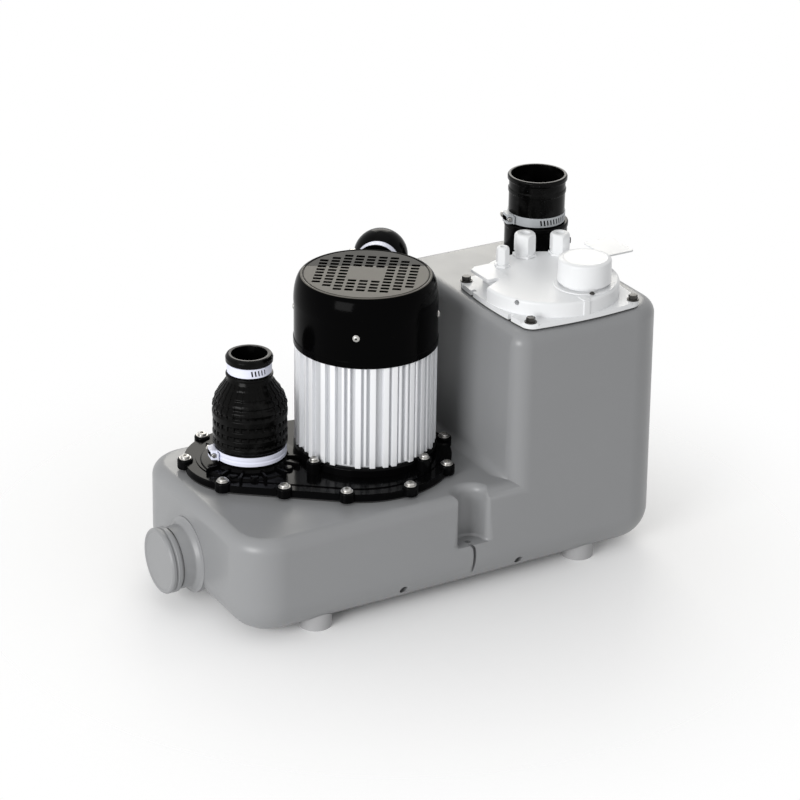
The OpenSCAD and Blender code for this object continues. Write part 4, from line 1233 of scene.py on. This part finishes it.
@dataclass
class Motor:
    """Flange, finned housing, fan cowl and their screws."""

    axis: Point = MOTOR_AXIS
    deck_top: float = DECK_TOP
    z: float = 150
    fin_top: float = 272.5
    core_r: float = 75.5
    core_bore: float = 68
    core_top: float = 301.8
    fin_r: float = 81
    wide_half: float = 3.3
    thin_half: float = 1.4
    cowl_r: float = 82
    cowl_z: float = 272.8
    cowl_top: float = 353.8
    wall: float = 2.5
    shoulder: float = 30
    face_r: float = 72.5
    slot_step: Point = (13, 9)
    slot_half: Point = (4.8, 3)
    blank: Point = (2, 14)
    screw_turn: float = -127
    screw_z: float = 309.3
    face_turn: float = -37
    ear_r: float = 8.2
    ear_h: float = 3.5
    ears: Sequence[Point] = ()
    wide: tuple[float, ...] = (
        -169.6, -155.8, -146.7, -125.2, -113.4, -102.5, -95.2, -78.8, -66, -48, -22, 2, 24, 48, 70, 92,
        116, 140, 162,
    )
    thin: tuple[float, ...] = (
        -186.8, -176.4, -137.6, -132.7, -119.6, -90.4, -84.4, -74.1, -59.8, -54, -41.5, -34, -28, -12, -5,
        9, 16, 32, 40, 56, 63, 78, 85, 100, 108, 124, 132, 148, 155,
    )

    def _flange(self) -> None:
        """Makes the black lower flange with its ears."""
        r, low, z = self.fin_r, self.deck_top, self.z
        profile = [(0, low, 0), (r + 1, low, 0.5), (r + 1, z - 1.5, 1.2), (r - 1, z, 1), (0, z, 0)]
        flange = Solid().turned(profile, at(*self.axis))
        for ear in self.ears:
            flange.rod(self.ear_r, low, z + self.ear_h, 1.2, at(*ear), 40)
        flange.piece("motor_foot", Finishes.BLACK, "motor_flange")
        heads = copies(domed_screw(4.6, 5), (at(*ear, z + self.ear_h) for ear in self.ears))
        heads.piece("flange_screw_heads", Finishes.SCREW, "flange_screws")

    def _fins(self) -> None:
        """Makes the aluminium body with wide and thin fins."""
        bore, r, low, high = self.core_bore, self.core_r, self.z, self.core_top
        profile = [(bore, low), (r, low), (r, high), (bore, high)]
        core = Solid().lathe(profile, at(*self.axis), FINE, ring=True)
        # The core between the fins carries painted shade, as a darker copy of the fins' aluminium.
        core.piece("motor_body", Finishes.CORE_CAST_SHADE, "motor_housing")
        body = Solid()
        root, tip, top = r - 1.5, self.fin_r, self.fin_top - 0.2
        w, t = self.wide_half, self.thin_half
        for turn in self.wide:
            body.box((root, -w, low + 0.1), (tip - 0.6, w, top), 0.8, at(*self.axis, 0, turn))
        for turn in self.thin:
            body.box((root, -t, low + 3.6), (tip - 0.1, t, top), 0.5, at(*self.axis, 0, turn))
        body.piece("fins", Finishes.FINS, "motor_housing")

    def _shoulder_curve(self, m: float) -> list[Point]:
        """Upper curve of the cowl, drawn in by a wall.

        Args:
            m: Thickness of the wall, or 0 for the outside.

        Returns:
            Points as radius and height, from the side to the face.
        """
        bend = self.cowl_r - self.face_r
        foot = self.cowl_top - self.shoulder
        out = []
        for t in range(0, 91, 6):
            c, s = math.cos(math.radians(t)), math.sin(math.radians(t))
            out.append((self.face_r - m / 2 + (bend - m / 2) * c, foot + (self.shoulder - m) * s))
        return out

    def _grille(self) -> Solid:
        """Slots of the cowl's face, without the blank middle."""
        slots = Solid()
        w, h = self.slot_half
        for i in range(-4, 5):
            for j in range(-6, 6):
                u, v = i * self.slot_step[0], (j + 0.5) * self.slot_step[1]
                blank = abs(i) < self.blank[0] and abs(v) < self.blank[1]
                if not blank and math.hypot(u, v) < self.face_r - 10:
                    plan = rectangle(u - w, v - h, u + w, v + h, 0.9, 2)
                    slots.slab(plan, self.cowl_top - 4, self.cowl_top + 2, place=at(turn=self.face_turn))
        return slots

    def _cowl(self) -> None:
        """Makes the fan cowl with its slotted face, and its screws."""
        r, low, top, face = self.cowl_r, self.cowl_z, self.cowl_top, self.face_r
        outside = rounded_path(
            [(r - self.wall, low, 0), (r, low, 0.8), (r, low + 7, 0.3), (r - 0.7, low + 7.6, 0.3),
             (r - 0.7, top - self.shoulder - 6, 0)],
            steps=3,
        )
        outside += [(x - 0.35, z) for x, z in self._shoulder_curve(0)[:-1]]
        outside += [(face + 0.4, top), (face - 0.8, top - 0.2), (face - 1.4, top - 1), (face - 2.2, top - 1),
                    (face - 2.8, top - 0.2), (0, top - 0.2)]
        inside = [(0, top - self.wall)] + self._shoulder_curve(self.wall)[::-1]
        cowl = Solid().lathe(outside + inside, steps=FINE).combine(self._grille())
        cowl.moved(at(*self.axis)).piece("cowl_moulding", Finishes.COWL, "fan_cowl")
        spots = [
            at(*self.axis, self.screw_z) @ at(turn=self.screw_turn + 90 * k) @ LIE_X @ at(z=r - 0.9)
            for k in range(4)
        ]
        copies(domed_screw(3.1, 2.2), spots).piece("cowl_screw_heads", Finishes.SCREW, "cowl_screws")

    def build(self) -> None:
        """Makes all the motor's outer pieces."""
        self._flange()
        self._fins()
        self._cowl()


@dataclass
class HoseClamp:
    """Worm-drive clamp: band, screw housing and worm screw.

    With no slots the band is ridged instead. The slots' span is in degrees from
    the screw housing.
    """

    name: str
    place: Matrix
    r: float
    turn: float
    body: Body
    worm: Body
    finish: Finish
    width: float = 11
    thick: float = 0.9
    box: float = 22
    house_h: float = 7.6
    worm_out: float = 4.6
    worm_r: float = 2.55
    bore_r: float = 3
    hexagon_r: float = 3.9
    slots: int = 40
    slot_span: tuple[float, float] = (24, 60)
    slot_tilt: float = 9

    def _band(self) -> Solid:
        """The band: ridged, or flat with a row of slanted slots."""
        r, w = self.r, self.width
        edge, dip = r + self.thick, r + self.thick * (1.0 if self.slots else 0.35)
        profile = [(r + 0.02, 0, 0), (edge, 0, 0.3), (edge, w * 0.36, 0.3), (dip, w * 0.4, 0.3)]
        profile += [(dip, w * 0.6, 0.3), (edge, w * 0.64, 0.3), (edge, w, 0.3), (r + 0.02, w, 0)]
        band = Solid().turned(profile, None, FINE, True, 3)
        if not self.slots:
            return band
        pitch = 360 / self.slots
        across, along = 0.75 * r * math.radians(pitch) * 0.32, w * 0.31
        tilt = Matrix.Rotation(math.radians(self.slot_tilt), 4, "X")
        spot = at(edge - 0.1, 0, w / 2) @ tilt
        teeth = Solid()
        for k in range(self.slots):
            turn = self.turn + self.slot_span[0] + pitch * k
            if turn <= self.turn + self.slot_span[1]:
                teeth.box((-1, -across, -along), (1.2, across, along), 0, at(turn=turn) @ spot)
        return band.combine(teeth)

    def _house(self, spot: Matrix, line: Matrix) -> Solid:
        """The screw's housing, with its bore and the band's loose end.

        Args:
            spot: Placement of the housing on the band.
            line: Placement of the screw's axis.

        Returns:
            The housing.
        """
        r, w, half, top = self.r, self.width, self.box / 2, self.r + self.house_h
        corners = [(r + 0.5, -half, 0.4), (top, -half + 1.5, 2), (top, half - 1.5, 2), (r + 0.5, half, 0.4)]
        house = Solid().slab(rounded_path(corners, True, 4), -0.5, w + 0.5, 0.8, 0.8, spot, 3)
        house.combine(Solid().rod(self.bore_r, -self.box, self.box, 0, line, 32))
        return house.add(Solid().box((r + 0.6, half - 1, 0.8), (r + 1.8, half + 5, w - 0.8), 0.3, spot))

    def build(self) -> None:
        """Makes the clamp and its screw."""
        half = self.box / 2
        spot = at(turn=self.turn)
        line = spot @ at(self.r + self.worm_out, 0, self.width / 2) @ LIE_Y
        band = self._band().add(self._house(spot, line)).moved(self.place)
        band.piece(self.name, self.finish, self.name, body=self.body)
        screw = Solid().rod(self.worm_r, -half - 1.4, half + 1.2, 0.3, None, 32)
        hexagon = Solid().slab(circle(self.hexagon_r, steps=6), half + 0.4, half + 4.6, 0.5, 0.3)
        hexagon.combine(Solid().box((-5, -0.6, half + 3), (5, 0.6, half + 6), 0))
        screw.add(hexagon).moved(self.place @ line)
        screw.piece(self.name + "_screw", Finishes.SCREW, self.name + "_screw", body=self.worm)


@dataclass
class DischargeBoot:
    """Ribbed rubber boot of the discharge, with its two clamps."""

    axis: Point = BOOT_AXIS
    z: float = DECK_TOP + 1
    r: float = 40.5
    mouth_r: float = 20
    height: float = 131
    bars: int = 30
    bar_half: float = 1.3
    bar_span: Point = (23.5, 66.5)
    cone_span: Point = (67, 101)
    lower_z: float = 149
    upper_z: float = 250
    upper_r: float = 24.4

    def _outside(self) -> list[Point]:
        """Outer curve from the deck to the mouth."""
        r, m, h = self.r, self.mouth_r, self.height
        low = [(r - 4, 0, 0), (r - 0.2, 0, 1), (r, 7, 0.6), (r - 0.1, 21, 0.6), (r + 0.4, 22.6, 0.8)]
        low += [(r + 2, 24.4, 1), (r + 2.2, 28.4, 1), (r + 0.4, 30, 0.8), (r + 0.4, 32, 0.8)]
        low += [(r + 2, 33.6, 1), (r + 2.1, 38.6, 1), (r + 0.3, 40.4, 0.8), (r + 0.3, 43, 0.8)]
        low += [(r + 1.9, 44.6, 1), (r + 1.7, 49.6, 1), (r + 0.1, 51.4, 0.8), (r + 0.1, 54.4, 0.8)]
        low += [(r + 2.1, 56.4, 1), (r + 2.4, 63, 1.4), (r + 0.4, 65.6, 1), (r + 0.4, 68, 0.8)]
        cone = [(r + 1.4, 69.4), (r + 0.9, 73), (r - 1.4, 75), (r - 1.7, 77), (r - 1, 78.4), (r - 2.2, 82)]
        cone += [(r - 5.2, 84.6), (r - 5.6, 86.4), (r - 5.4, 87.6), (r - 8, 91), (m + 9.6, 94.4)]
        cone += [(m + 8.8, 96.4), (m + 6, 100.4), (m + 4.7, 104.4)]
        top = [(m + 4.7, 105, 0), (m + 6.8, 105.4, 0.6), (m + 6.9, 108, 0.8), (m + 4.4, 108.8, 0.4)]
        top += [(m + 4.4, h - 9.8, 0.4), (m + 6.7, h - 8.8, 0.8), (m + 6.9, h - 3.4, 1.4)]
        top += [(m + 5.2, h - 0.6, 1.6), (m + 3, h, 1), (m + 0.5, h - 0.2, 0.5), (m, h - 1.4, 0.5)]
        return rounded_path(low, steps=4) + smooth_curve(cone, 4) + rounded_path(top, steps=4)

    def _sleeve(self) -> None:
        """Makes the boot as a thick-walled turned skin with upright bars."""
        r, m = self.r, self.mouth_r
        inside = [(m, 104), (m + 3.6, 97), (r - 13, 90), (r - 8, 83), (r - 5.5, 75), (r - 3, 64)]
        inside += [(r - 3, 35), (r - 4, 34)]
        outside = self._outside()
        boot = Solid().lathe(outside + inside, at(*self.axis, self.z), FINE, ring=True)
        low, high = self.cone_span
        cone = [(x, z) for x, z in outside if low < z < high and x > m + 5]
        bar = [(x + 0.7, z) for x, z in cone] + [(x - 2, z) for x, z in reversed(cone)]
        half, (foot, top) = self.bar_half, self.bar_span
        for k in range(self.bars):
            turn = at(*self.axis, self.z, 360 / self.bars * k)
            boot.box((r - 1, -half, foot), (r + 1.5, half, top), 0.4, turn)
            boot.slab(bar, -1.1, 1.1, 0.3, 0.3, turn @ LIE_Y)
        boot.piece("boot_sleeve", Finishes.BOOT, "discharge_boot", smooth=45)

    def build(self) -> None:
        """Makes the boot and the clamps."""
        self._sleeve()
        HoseClamp("lower_clamp", at(*self.axis, self.lower_z), self.r, 170, Body.STATION, Body.LOWER_WORM,
                  Finishes.CLAMP, box=18, slots=0).build()
        HoseClamp("upper_clamp", at(*self.axis, self.upper_z), self.upper_r, 90, Body.STATION,
                  Body.UPPER_WORM, Finishes.CLAMP, slot_span=(160, 200)).build()


@dataclass
class RearInlet:
    """Riser behind the motor with its swivelling elbow."""

    axis: Point = (46.75, 107)
    r: float = 25
    base: float = LOW_TOP
    top: float = 293.7
    rings: int = 5
    ring_step: float = 20
    elbow_z: float = 327
    ball_r: float = 31.7
    leg: float = 33.5
    mouth_r: float = 24.2
    turn: float = -128.3
    band_back: float = 13

    def _riser(self) -> None:
        """Makes the riser with its collar and rings."""
        r, base, spot = self.r, self.base, at(*self.axis)
        riser = Solid().tube(r, r - 3, base - 20, self.top, 0.6, spot)
        riser.tube(r + 5, r - 1, base + 22, base + 28, 1.2, spot)
        for k in range(self.rings):
            z = base + 50 + self.ring_step * k
            riser.tube(r + 0.7, r - 1, z, z + 2, 0.5, spot)
        riser.piece("riser_pipe", Finishes.BLACK, "rear_riser")

    def _elbow(self) -> None:
        """Makes the elbow: a skirt over the riser, a ball and a neck."""
        r, m, leg, z = self.r, self.mouth_r, self.leg, self.elbow_z
        low = z - 55
        skirt = [(r + 0.05, low, 0.3), (r + 4, low, 1), (r + 4, low + 25, 2), (r - 4, low + 28, 2.5)]
        skirt += [(r - 4, z - 20, 0), (r - 8, z - 20, 0), (r - 8, low + 22, 0), (r + 0.05, low + 22, 0)]
        elbow = Solid().turned(skirt, ring=True)
        elbow.combine(Solid().ball(self.ball_r, at(z=z)), Operation.JOIN)
        lie = at(z=z) @ LIE_X
        neck = [(0, 4, 0), (m, 4, 0), (m, leg - 1.8, 0.3), (m + 0.8, leg - 1.3, 0.4), (m + 0.8, leg, 0.4)]
        elbow.combine(Solid().turned(neck + [(0, leg, 0)], lie, fillet=3), Operation.JOIN)
        elbow.combine(Solid().rod(m - 4, 0, leg + 5, 0, lie, 64))
        elbow.combine(Solid().rod(r - 8, low + 20, z, 0, None, 64))
        elbow.moved(at(*self.axis, 0, self.turn))
        elbow.piece("elbow_moulding", Finishes.BLACK, "rear_elbow", body=Body.ELBOW, smooth=40)

    def build(self) -> None:
        """Makes the riser, the elbow and the elbow's clamp."""
        self._riser()
        self._elbow()
        mouth = at(*self.axis, self.elbow_z, self.turn) @ LIE_X @ at(z=self.leg - self.band_back)
        HoseClamp("rear_clamp", mouth, self.mouth_r, -90, Body.ELBOW, Body.REAR_WORM, Finishes.CLAMP).build()


@dataclass
class TopInlet:
    """Collar, sleeve and clamp of the open top inlet."""

    axis: Point = (241.75, 79)
    z: float = TALL_TOP
    collar_r: float = 38
    collar_bore: float = 26
    collar_h: float = 40
    sleeve_r: float = 33.2
    foot_bore: float = 29.2
    bore_r: float = 31
    rise: float = 97
    plug_turn: float = -32
    plug_z: float = 14
    plug_r: float = 3.6

    def build(self) -> None:
        """Makes the collar, the sleeve and the clamp."""
        r, h, hole, spot = self.collar_r, self.collar_h, self.collar_bore, at(*self.axis, self.z)
        profile = [(hole, 0, 0), (r, 0, 0.6), (r, 3.4, 0.8), (r - 0.8, 4.4, 0.5), (r - 0.8, h - 6, 0.6)]
        profile += [(r, h - 5, 0.6), (r, h, 1.6), (hole, h, 0)]
        collar = Solid().turned(profile, spot, FINE, True)
        plug = at(*self.axis, self.z + self.plug_z, self.plug_turn) @ at(r - 2) @ LIE_X
        collar.rod(self.plug_r, 0, 6, 0.8, plug, 32)
        collar.piece("inlet_base", Finishes.BLACK, "inlet_collar")
        s, b, foot, top = self.sleeve_r, self.bore_r, self.foot_bore, self.rise
        profile = [(foot, h + 0.3, 0), (s, h + 0.3, 0.5), (s, 75.6, 0.6), (s + 0.9, 76.6, 0.5)]
        profile += [(s + 0.9, 80.4, 0.5), (s, 81.4, 0.6), (s, top - 7.2, 0.8), (s + 2, top - 5.6, 1)]
        profile += [(s + 2, top - 1.6, 1.2), (s + 0.8, top, 0.8), (b, top, 0.8), (b, h + 31, 0)]
        sleeve = Solid().turned(profile + [(foot, h + 28, 0)], spot, FINE, True)
        sleeve.piece("inlet_rubber", Finishes.BOOT, "inlet_sleeve", smooth=40)
        HoseClamp("inlet_clamp", at(*self.axis, self.z + h + 1.3), s, 172, Body.STATION, Body.INLET_WORM,
                  Finishes.DULL_CLAMP, box=17, slots=52, slot_span=(75, 150)).build()


@dataclass
class SwitchCover:
    """White cover with its gasket, drum, glands, filter cap, tab and screws.

    Plan places are measured from the cover's middle. A gland is its x, y, radius
    and height, an edge notch its two y and its depth as an x, the drain its x, y
    and turn, and the tab its far x, y and upper height.
    """

    middle: Point = (178.75, -49)
    gasket_z: float = TALL_TOP
    z: float = 307.5
    drum_z: float = 313.5
    top: float = 330.5
    half: float = 77
    corner: float = 14
    bulge_r: float = 80.8
    drum_r: float = 80
    screw_half: float = 68.5
    pocket_r: float = 8
    bite: tuple[Triple, ...] = (
        (-100, 2, 0), (-74, 8, 4), (-54, 20, 4), (-50, 70, 4), (-80, 90, 0), (-100, 90, 0))
    shelf: tuple[float, ...] = (-68, 24, -40, 66)
    edge_notches: tuple[Triple, ...] = ((36, 42, -73.5), (-44, -38, -74.5))
    drain: Triple = (-62.5, -36, -149)
    drain_r: float = 3
    cap: Point = (23, -36)
    cap_r: float = 30.5
    cap_z: float = 334.5
    cap_h: float = 28
    cap_screw_turn: float = -108
    tab: Triple = (37, 43, 13.2)
    glands: tuple[tuple[float, float, float, float], ...] = (
        (10, 69, 13, 28), (49, 55, 12, 26), (-30, 53, 8, 24))
    gland_turn: float = 14

    def _outline(self, inset: float) -> list[Point]:
        """Plan of the flange: a rounded square with bulging sides.

        Args:
            inset: Distance from the flange's rim.

        Returns:
            The plan, counter-clockwise.
        """
        out = []
        core = self.half - self.corner
        for x, y in circle(1, steps=240):
            c, s = abs(x), abs(y)
            r = self.half / max(c, s)
            along = min(c, s) * r / core
            if along > 1:
                b = core * (c + s)
                r = b + math.sqrt(max(b * b - 2 * core * core + self.corner * self.corner, 0))
            else:
                r += (self.bulge_r - self.half) * (1 - along * along)
            out.append(((r - inset) * x, (r - inset) * y))
        return out

    def _corners(self) -> list[Point]:
        """Plan places of the four cover screws."""
        return [(sx * self.screw_half, sy * self.screw_half) for sx in (-1, 1) for sy in (-1, 1)]

    def _drum(self) -> Solid:
        """Round drum with its recess at the left, shelf, drain and screw pockets."""
        r, low, top = self.drum_r, self.drum_z, self.top
        profile = [(0, low - 2, 0), (r, low - 2, 0), (r - 0.4, top, 3.2), (0, top, 0)]
        drum = Solid().turned(profile, steps=160, fillet=6)
        drum.combine(Solid().slab(rounded_path(self.bite, True, 4), low - 0.6, top + 5))
        shelf = rectangle(*self.shelf, 2.5, 4)
        drum.combine(Solid().slab(shelf, top - 3.4, top + 0.4, 0.8, 0.4, segments=3), Operation.JOIN)
        x, y, turn = self.drain
        cuts = Solid().rod(self.drain_r, -6, 12, 0, at(x, y, top - 4, turn) @ LIE_X, 32)
        for x, y in self._corners():
            cuts.rod(self.pocket_r, low + 0.1, top + 3, 0, at(x, y), 40)
        return drum.combine(cuts)

    def _shell(self) -> None:
        """Makes the flange, the drum and all that is moulded on it."""
        r, low, top = self.cap_r, self.drum_z, self.top
        shell = Solid().slab(self._outline(0), self.z, low, 1.8, 0.3, segments=4)
        shell.combine(self._drum(), Operation.JOIN)
        notches = Solid()
        for y0, y1, x1 in self.edge_notches:
            notches.box((-82, y0, self.z - 1), (x1, y1, low + 1), 0)
        shell.combine(notches)
        shell.add(Solid().box((-6, -81, low - 1), (2, -76, top - 1), 0.8))
        seat = [(0, top - 1, 0), (r + 4.6, top - 1, 0), (r + 4.6, top + 0.8, 0.6), (r - 4, top + 1.2, 0.4)]
        seat += [(r - 4, self.cap_z + 1, 0.3), (0, self.cap_z + 1, 0)]
        shell.add(Solid().turned(seat, at(*self.cap), fillet=3))
        shell.add(Solid().slab(rectangle(-6, -79, 4, -66, 2, 3), top - 3, top + 0.8, 0.8))
        for x, y, gland_r, _ in self.glands:
            shell.add(Solid().rod(gland_r + 1.5, low - 1, top, 0.8, at(x, y), 48))
        shell.moved(at(*self.middle)).piece("cover_moulding", Finishes.WHITE, "switch_cover", smooth=34)

    def _gland_set(self) -> None:
        """Makes the cable glands and their domed nuts."""
        bodies, nuts = Solid(), Solid()
        turn = at(turn=self.gland_turn)
        for x, y, r, h in self.glands:
            place = at(*self.middle, self.top) @ at(x, y)
            bodies.add(Solid().slab(circle(r + 1.4, steps=6), 0, 2.6, 0.8, place=place @ turn))
            bodies.add(Solid().rod(r - 1.6, 1, h * 0.34, 0.4, place, 48))
            dome = [(0, -3, 0), (r + 0.2, -3, 0), (r - 0.4, h * 0.54, 1), (r - 1.4, h * 0.7, 3.2)]
            dome += [(r * 0.44, h * 0.7, 0.5), (r * 0.42, h * 0.7 - 2.6, 0.3), (0, h * 0.7 - 2.6, 0)]
            nut = Solid().turned(dome, steps=72, fillet=6)
            nut.combine(Solid().slab(circle(r * 0.99, steps=6), -3.5, h, 0.6, place=turn), Operation.KEEP)
            nuts.add(nut.moved(at(z=h * 0.3) @ place))
        bodies.piece("gland_hexagons", Finishes.WHITE, "gland_bodies")
        nuts.piece("gland_domes", Finishes.WHITE, "gland_nuts")

    def _filter_cap(self) -> None:
        """Makes the filter cap and its screw."""
        r, h = self.cap_r, self.cap_h
        x, y = self.middle[0] + self.cap[0], self.middle[1] + self.cap[1]
        profile = [(r - 2.5, 0, 0.4), (r, 0, 0.5), (r - 0.3, h - 1.6, 2.2), (r - 5, h, 1.2)]
        profile += [(r - 6.2, h - 0.4, 0.3), (0, h - 0.4, 0)]
        cap = Solid().turned(profile, at(x, y, self.cap_z + 0.3), FINE, fillet=6)
        cap.piece("cap_dome", Finishes.WHITE, "filter_cap")
        spot = at(x, y, self.top + 0.8, self.cap_screw_turn) @ at(r + 3.4)
        domed_screw(2.3, 2.6).moved(spot).piece("cap_screw_head", Finishes.DARK, "cap_screw")

    def _seal(self) -> None:
        """Makes the gasket under the flange."""
        gasket = Solid().slab(self._outline(1), self.gasket_z, self.z, place=at(*self.middle))
        gasket.piece("cover_seal", Finishes.SEAL, "cover_gasket")

    def _trims(self) -> None:
        """Makes the cover screws and the tab."""
        here = at(*self.middle)
        places = [here @ at(x, y, self.drum_z, math.copysign(20, x)) for x, y in self._corners()]
        bolt = Solid().slab(circle(5.3, steps=6), 1.2, 6.4, 0.8).tube(7, 3, 0, 1.4, 0.4, steps=40)
        copies(bolt, places).piece("cover_screw_heads", Finishes.DARK, "cover_screws")
        stem = here @ at(self.drum_r - 5, -1, self.top)
        x1, y1, z = self.tab
        tab = Solid().box((-2, -4, -0.5), (2, 4, z - 1.8), 0.5, stem)
        tab.add(Solid().slab(rectangle(-2, -4, x1, y1, 3, 5), z - 2.4, z, 0.7, 0.7, stem))
        tab.piece("finger_plate", Finishes.WHITE, "finger_tab")

    def build(self) -> None:
        """Makes all the cover's pieces."""
        self._shell()
        self._gland_set()
        self._seal()
        self._filter_cap()
        self._trims()


@dataclass
class InnerParts:
    """CAD nodes that are shown as they are, with a finish of their own."""

    nodes: dict[str, bpy.types.Object]
    looks: tuple[tuple[Finish, tuple[str, ...]], ...] = (
        (Finishes.FOOT, ("feet",)),
        (Finishes.CASING, ("volute_casing", "suction_grille", "impeller", "cooling_fan", "valve_seat")),
        (Finishes.CASING, ("plunger_guide", "microswitch")),
        (Finishes.SHAFT, ("impeller_nut", "rotor_shaft", "lower_bearing", "upper_bearing", "switch_lever")),
        (Finishes.CORE, ("rotor_core", "stator_core")),
        (Finishes.COPPER, ("stator_windings",)),
        (Finishes.SEAL, ("shaft_seal", "check_flap", "riser_seal")),
        (Finishes.CAN, ("upper_end_shield", "capacitor")),
        (Finishes.CARBON, ("carbon_filter",)),
        (Finishes.BOX, ("switch_box", "dip_tube")),
        (Finishes.BOARD, ("circuit_board",)),
        (Finishes.DIAPHRAGM, ("diaphragm",)),
        (Finishes.WHITE, ("switch_plunger",)),
    )

    def build(self) -> None:
        """Gives each node its finish."""
        for finish, names in self.looks:
            for name in names:
                node = self.nodes[name]
                node.data.materials.clear()
                node.data.materials.append(finish.material())


# The studio


@dataclass(frozen=True)
class Lamp:
    """Square soft light, in metres and watts, that is aimed at a height on the object's axis."""

    name: str
    place: Triple
    aim_z: float
    size: float
    watts: float
    colour: Colour = (1, 1, 1)

    def build(self) -> None:
        """Adds the light to the scene."""
        data = bpy.data.lights.new(self.name, "AREA")
        data.shape = "SQUARE"
        data.size = self.size
        data.energy = self.watts
        data.color = self.colour
        light = bpy.data.objects.new(self.name, data)
        spot = Vector(self.place)
        turn = (Vector((0, 0, self.aim_z)) - spot).to_track_quat("-Z", "Y").to_matrix().to_4x4()
        light.matrix_world = Matrix.Translation(spot) @ turn
        bpy.context.scene.collection.objects.link(light)


@dataclass
class Studio:
    """Camera, soft lights, pale floor and white background.

    Lengths are in metres. The focal length is in pixels of the photograph.
    """

    position: Triple = (-1.41995, -2.4483, 1.4978)
    right: Triple = (0.86589, -0.50010, 0.01238)
    up: Triple = (0.19935, 0.36764, 0.90838)
    focal: float = 2731.1
    picture: float = 800
    sensor: float = 36
    far_clip: float = 60
    world: float = 0.55
    floor_half: float = 12
    floor_level: float = 1.0
    floor_reach: float = 0.4
    floor_fade: float = 0.5
    lamps: tuple[Lamp, ...] = (
        Lamp("key", (-2.6, -1.2, 1.0), 0.15, 1.4, 58),
        Lamp("top", (0.3, 0.2, 3.0), 0.2, 2.2, 5),
        Lamp("back", (1.38, 2.35, 1.6), 0.25, 1.5, 27, (1, 0.97, 0.9)),
    )

    def _camera(self) -> None:
        """Places the camera at the measured view of the photograph."""
        data = bpy.data.cameras.new("camera")
        data.sensor_width = self.sensor
        data.lens = self.focal / self.picture * self.sensor
        data.clip_end = self.far_clip
        camera = bpy.data.objects.new("camera", data)
        x, y = Vector(self.right), Vector(self.up)
        z = x.cross(y)
        turn = Matrix((x, y, z)).transposed().to_4x4()
        camera.matrix_world = Matrix.Translation(self.position) @ turn
        bpy.context.scene.collection.objects.link(camera)
        bpy.context.scene.camera = camera

    def _floor(self) -> None:
        """Adds a wide floor that fades into the white background."""
        mesh = bpy.data.meshes.new("floor")
        bm = bmesh.new()
        bmesh.ops.create_grid(bm, x_segments=2, y_segments=2, size=self.floor_half)
        bm.to_mesh(mesh)
        bm.free()
        graph = Graph("floor_white")
        reach = graph.node("ShaderNodeVectorMath", "Value", {0: graph.place()}, operation="LENGTH")
        graph.set(
            Base_Color=(self.floor_level,) * 3 + (1,),
            Roughness=0.9,
            Specular_IOR_Level=0,
            Alpha=1 - reach.above(self.floor_reach, self.floor_fade),
        )
        mesh.materials.append(graph.material)
        floor = bpy.data.objects.new("floor", mesh)
        bpy.context.scene.collection.objects.link(floor)
        floor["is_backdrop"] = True

    def _world(self) -> None:
        """Sets the background: white to the camera, softer as light."""
        world = bpy.data.worlds.new("studio")
        world.use_nodes = True
        tree = world.node_tree
        back = tree.nodes["Background"]
        back.inputs["Color"].default_value = (1, 1, 1, 1)
        rays = tree.nodes.new("ShaderNodeLightPath")
        total = tree.nodes.new("ShaderNodeMapRange")
        total.inputs["To Min"].default_value = self.world
        total.inputs["To Max"].default_value = 1.0
        seen = rays.outputs["Is Camera Ray"]
        for extra in ("Is Glossy Ray", "Is Transmission Ray"):
            joined = tree.nodes.new("ShaderNodeMath")
            joined.operation = "MAXIMUM"
            tree.links.new(seen, joined.inputs[0])
            tree.links.new(rays.outputs[extra], joined.inputs[1])
            seen = joined.outputs[0]
        tree.links.new(seen, total.inputs["Value"])
        tree.links.new(total.outputs[0], back.inputs["Strength"])
        bpy.context.scene.world = world

    def build(self) -> None:
        """Sets the whole studio up, with plain colours."""
        self._camera()
        self._floor()
        self._world()
        for lamp in self.lamps:
            lamp.build()
        bpy.context.scene.view_settings.view_transform = "Standard"


def main() -> None:
    """Builds the pump over the frame, then the studio."""
    logging.basicConfig(level=logging.INFO, format="%(message)s")
    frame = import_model()
    deck = Deck()
    parts = [
        TankShell(),
        SideInlet(),
        deck,
        Motor(ears=deck.ear_points()),
        DischargeBoot(),
        RearInlet(),
        TopInlet(),
        SwitchCover(),
        InnerParts(frame["nodes"]),
        Studio(),
    ]
    for part in parts:
        part.build()
        LOG.info("built %s", type(part).__name__)
    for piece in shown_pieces():
        LOG.info("piece %s", piece.name)


if __name__ == "__main__":
    main()
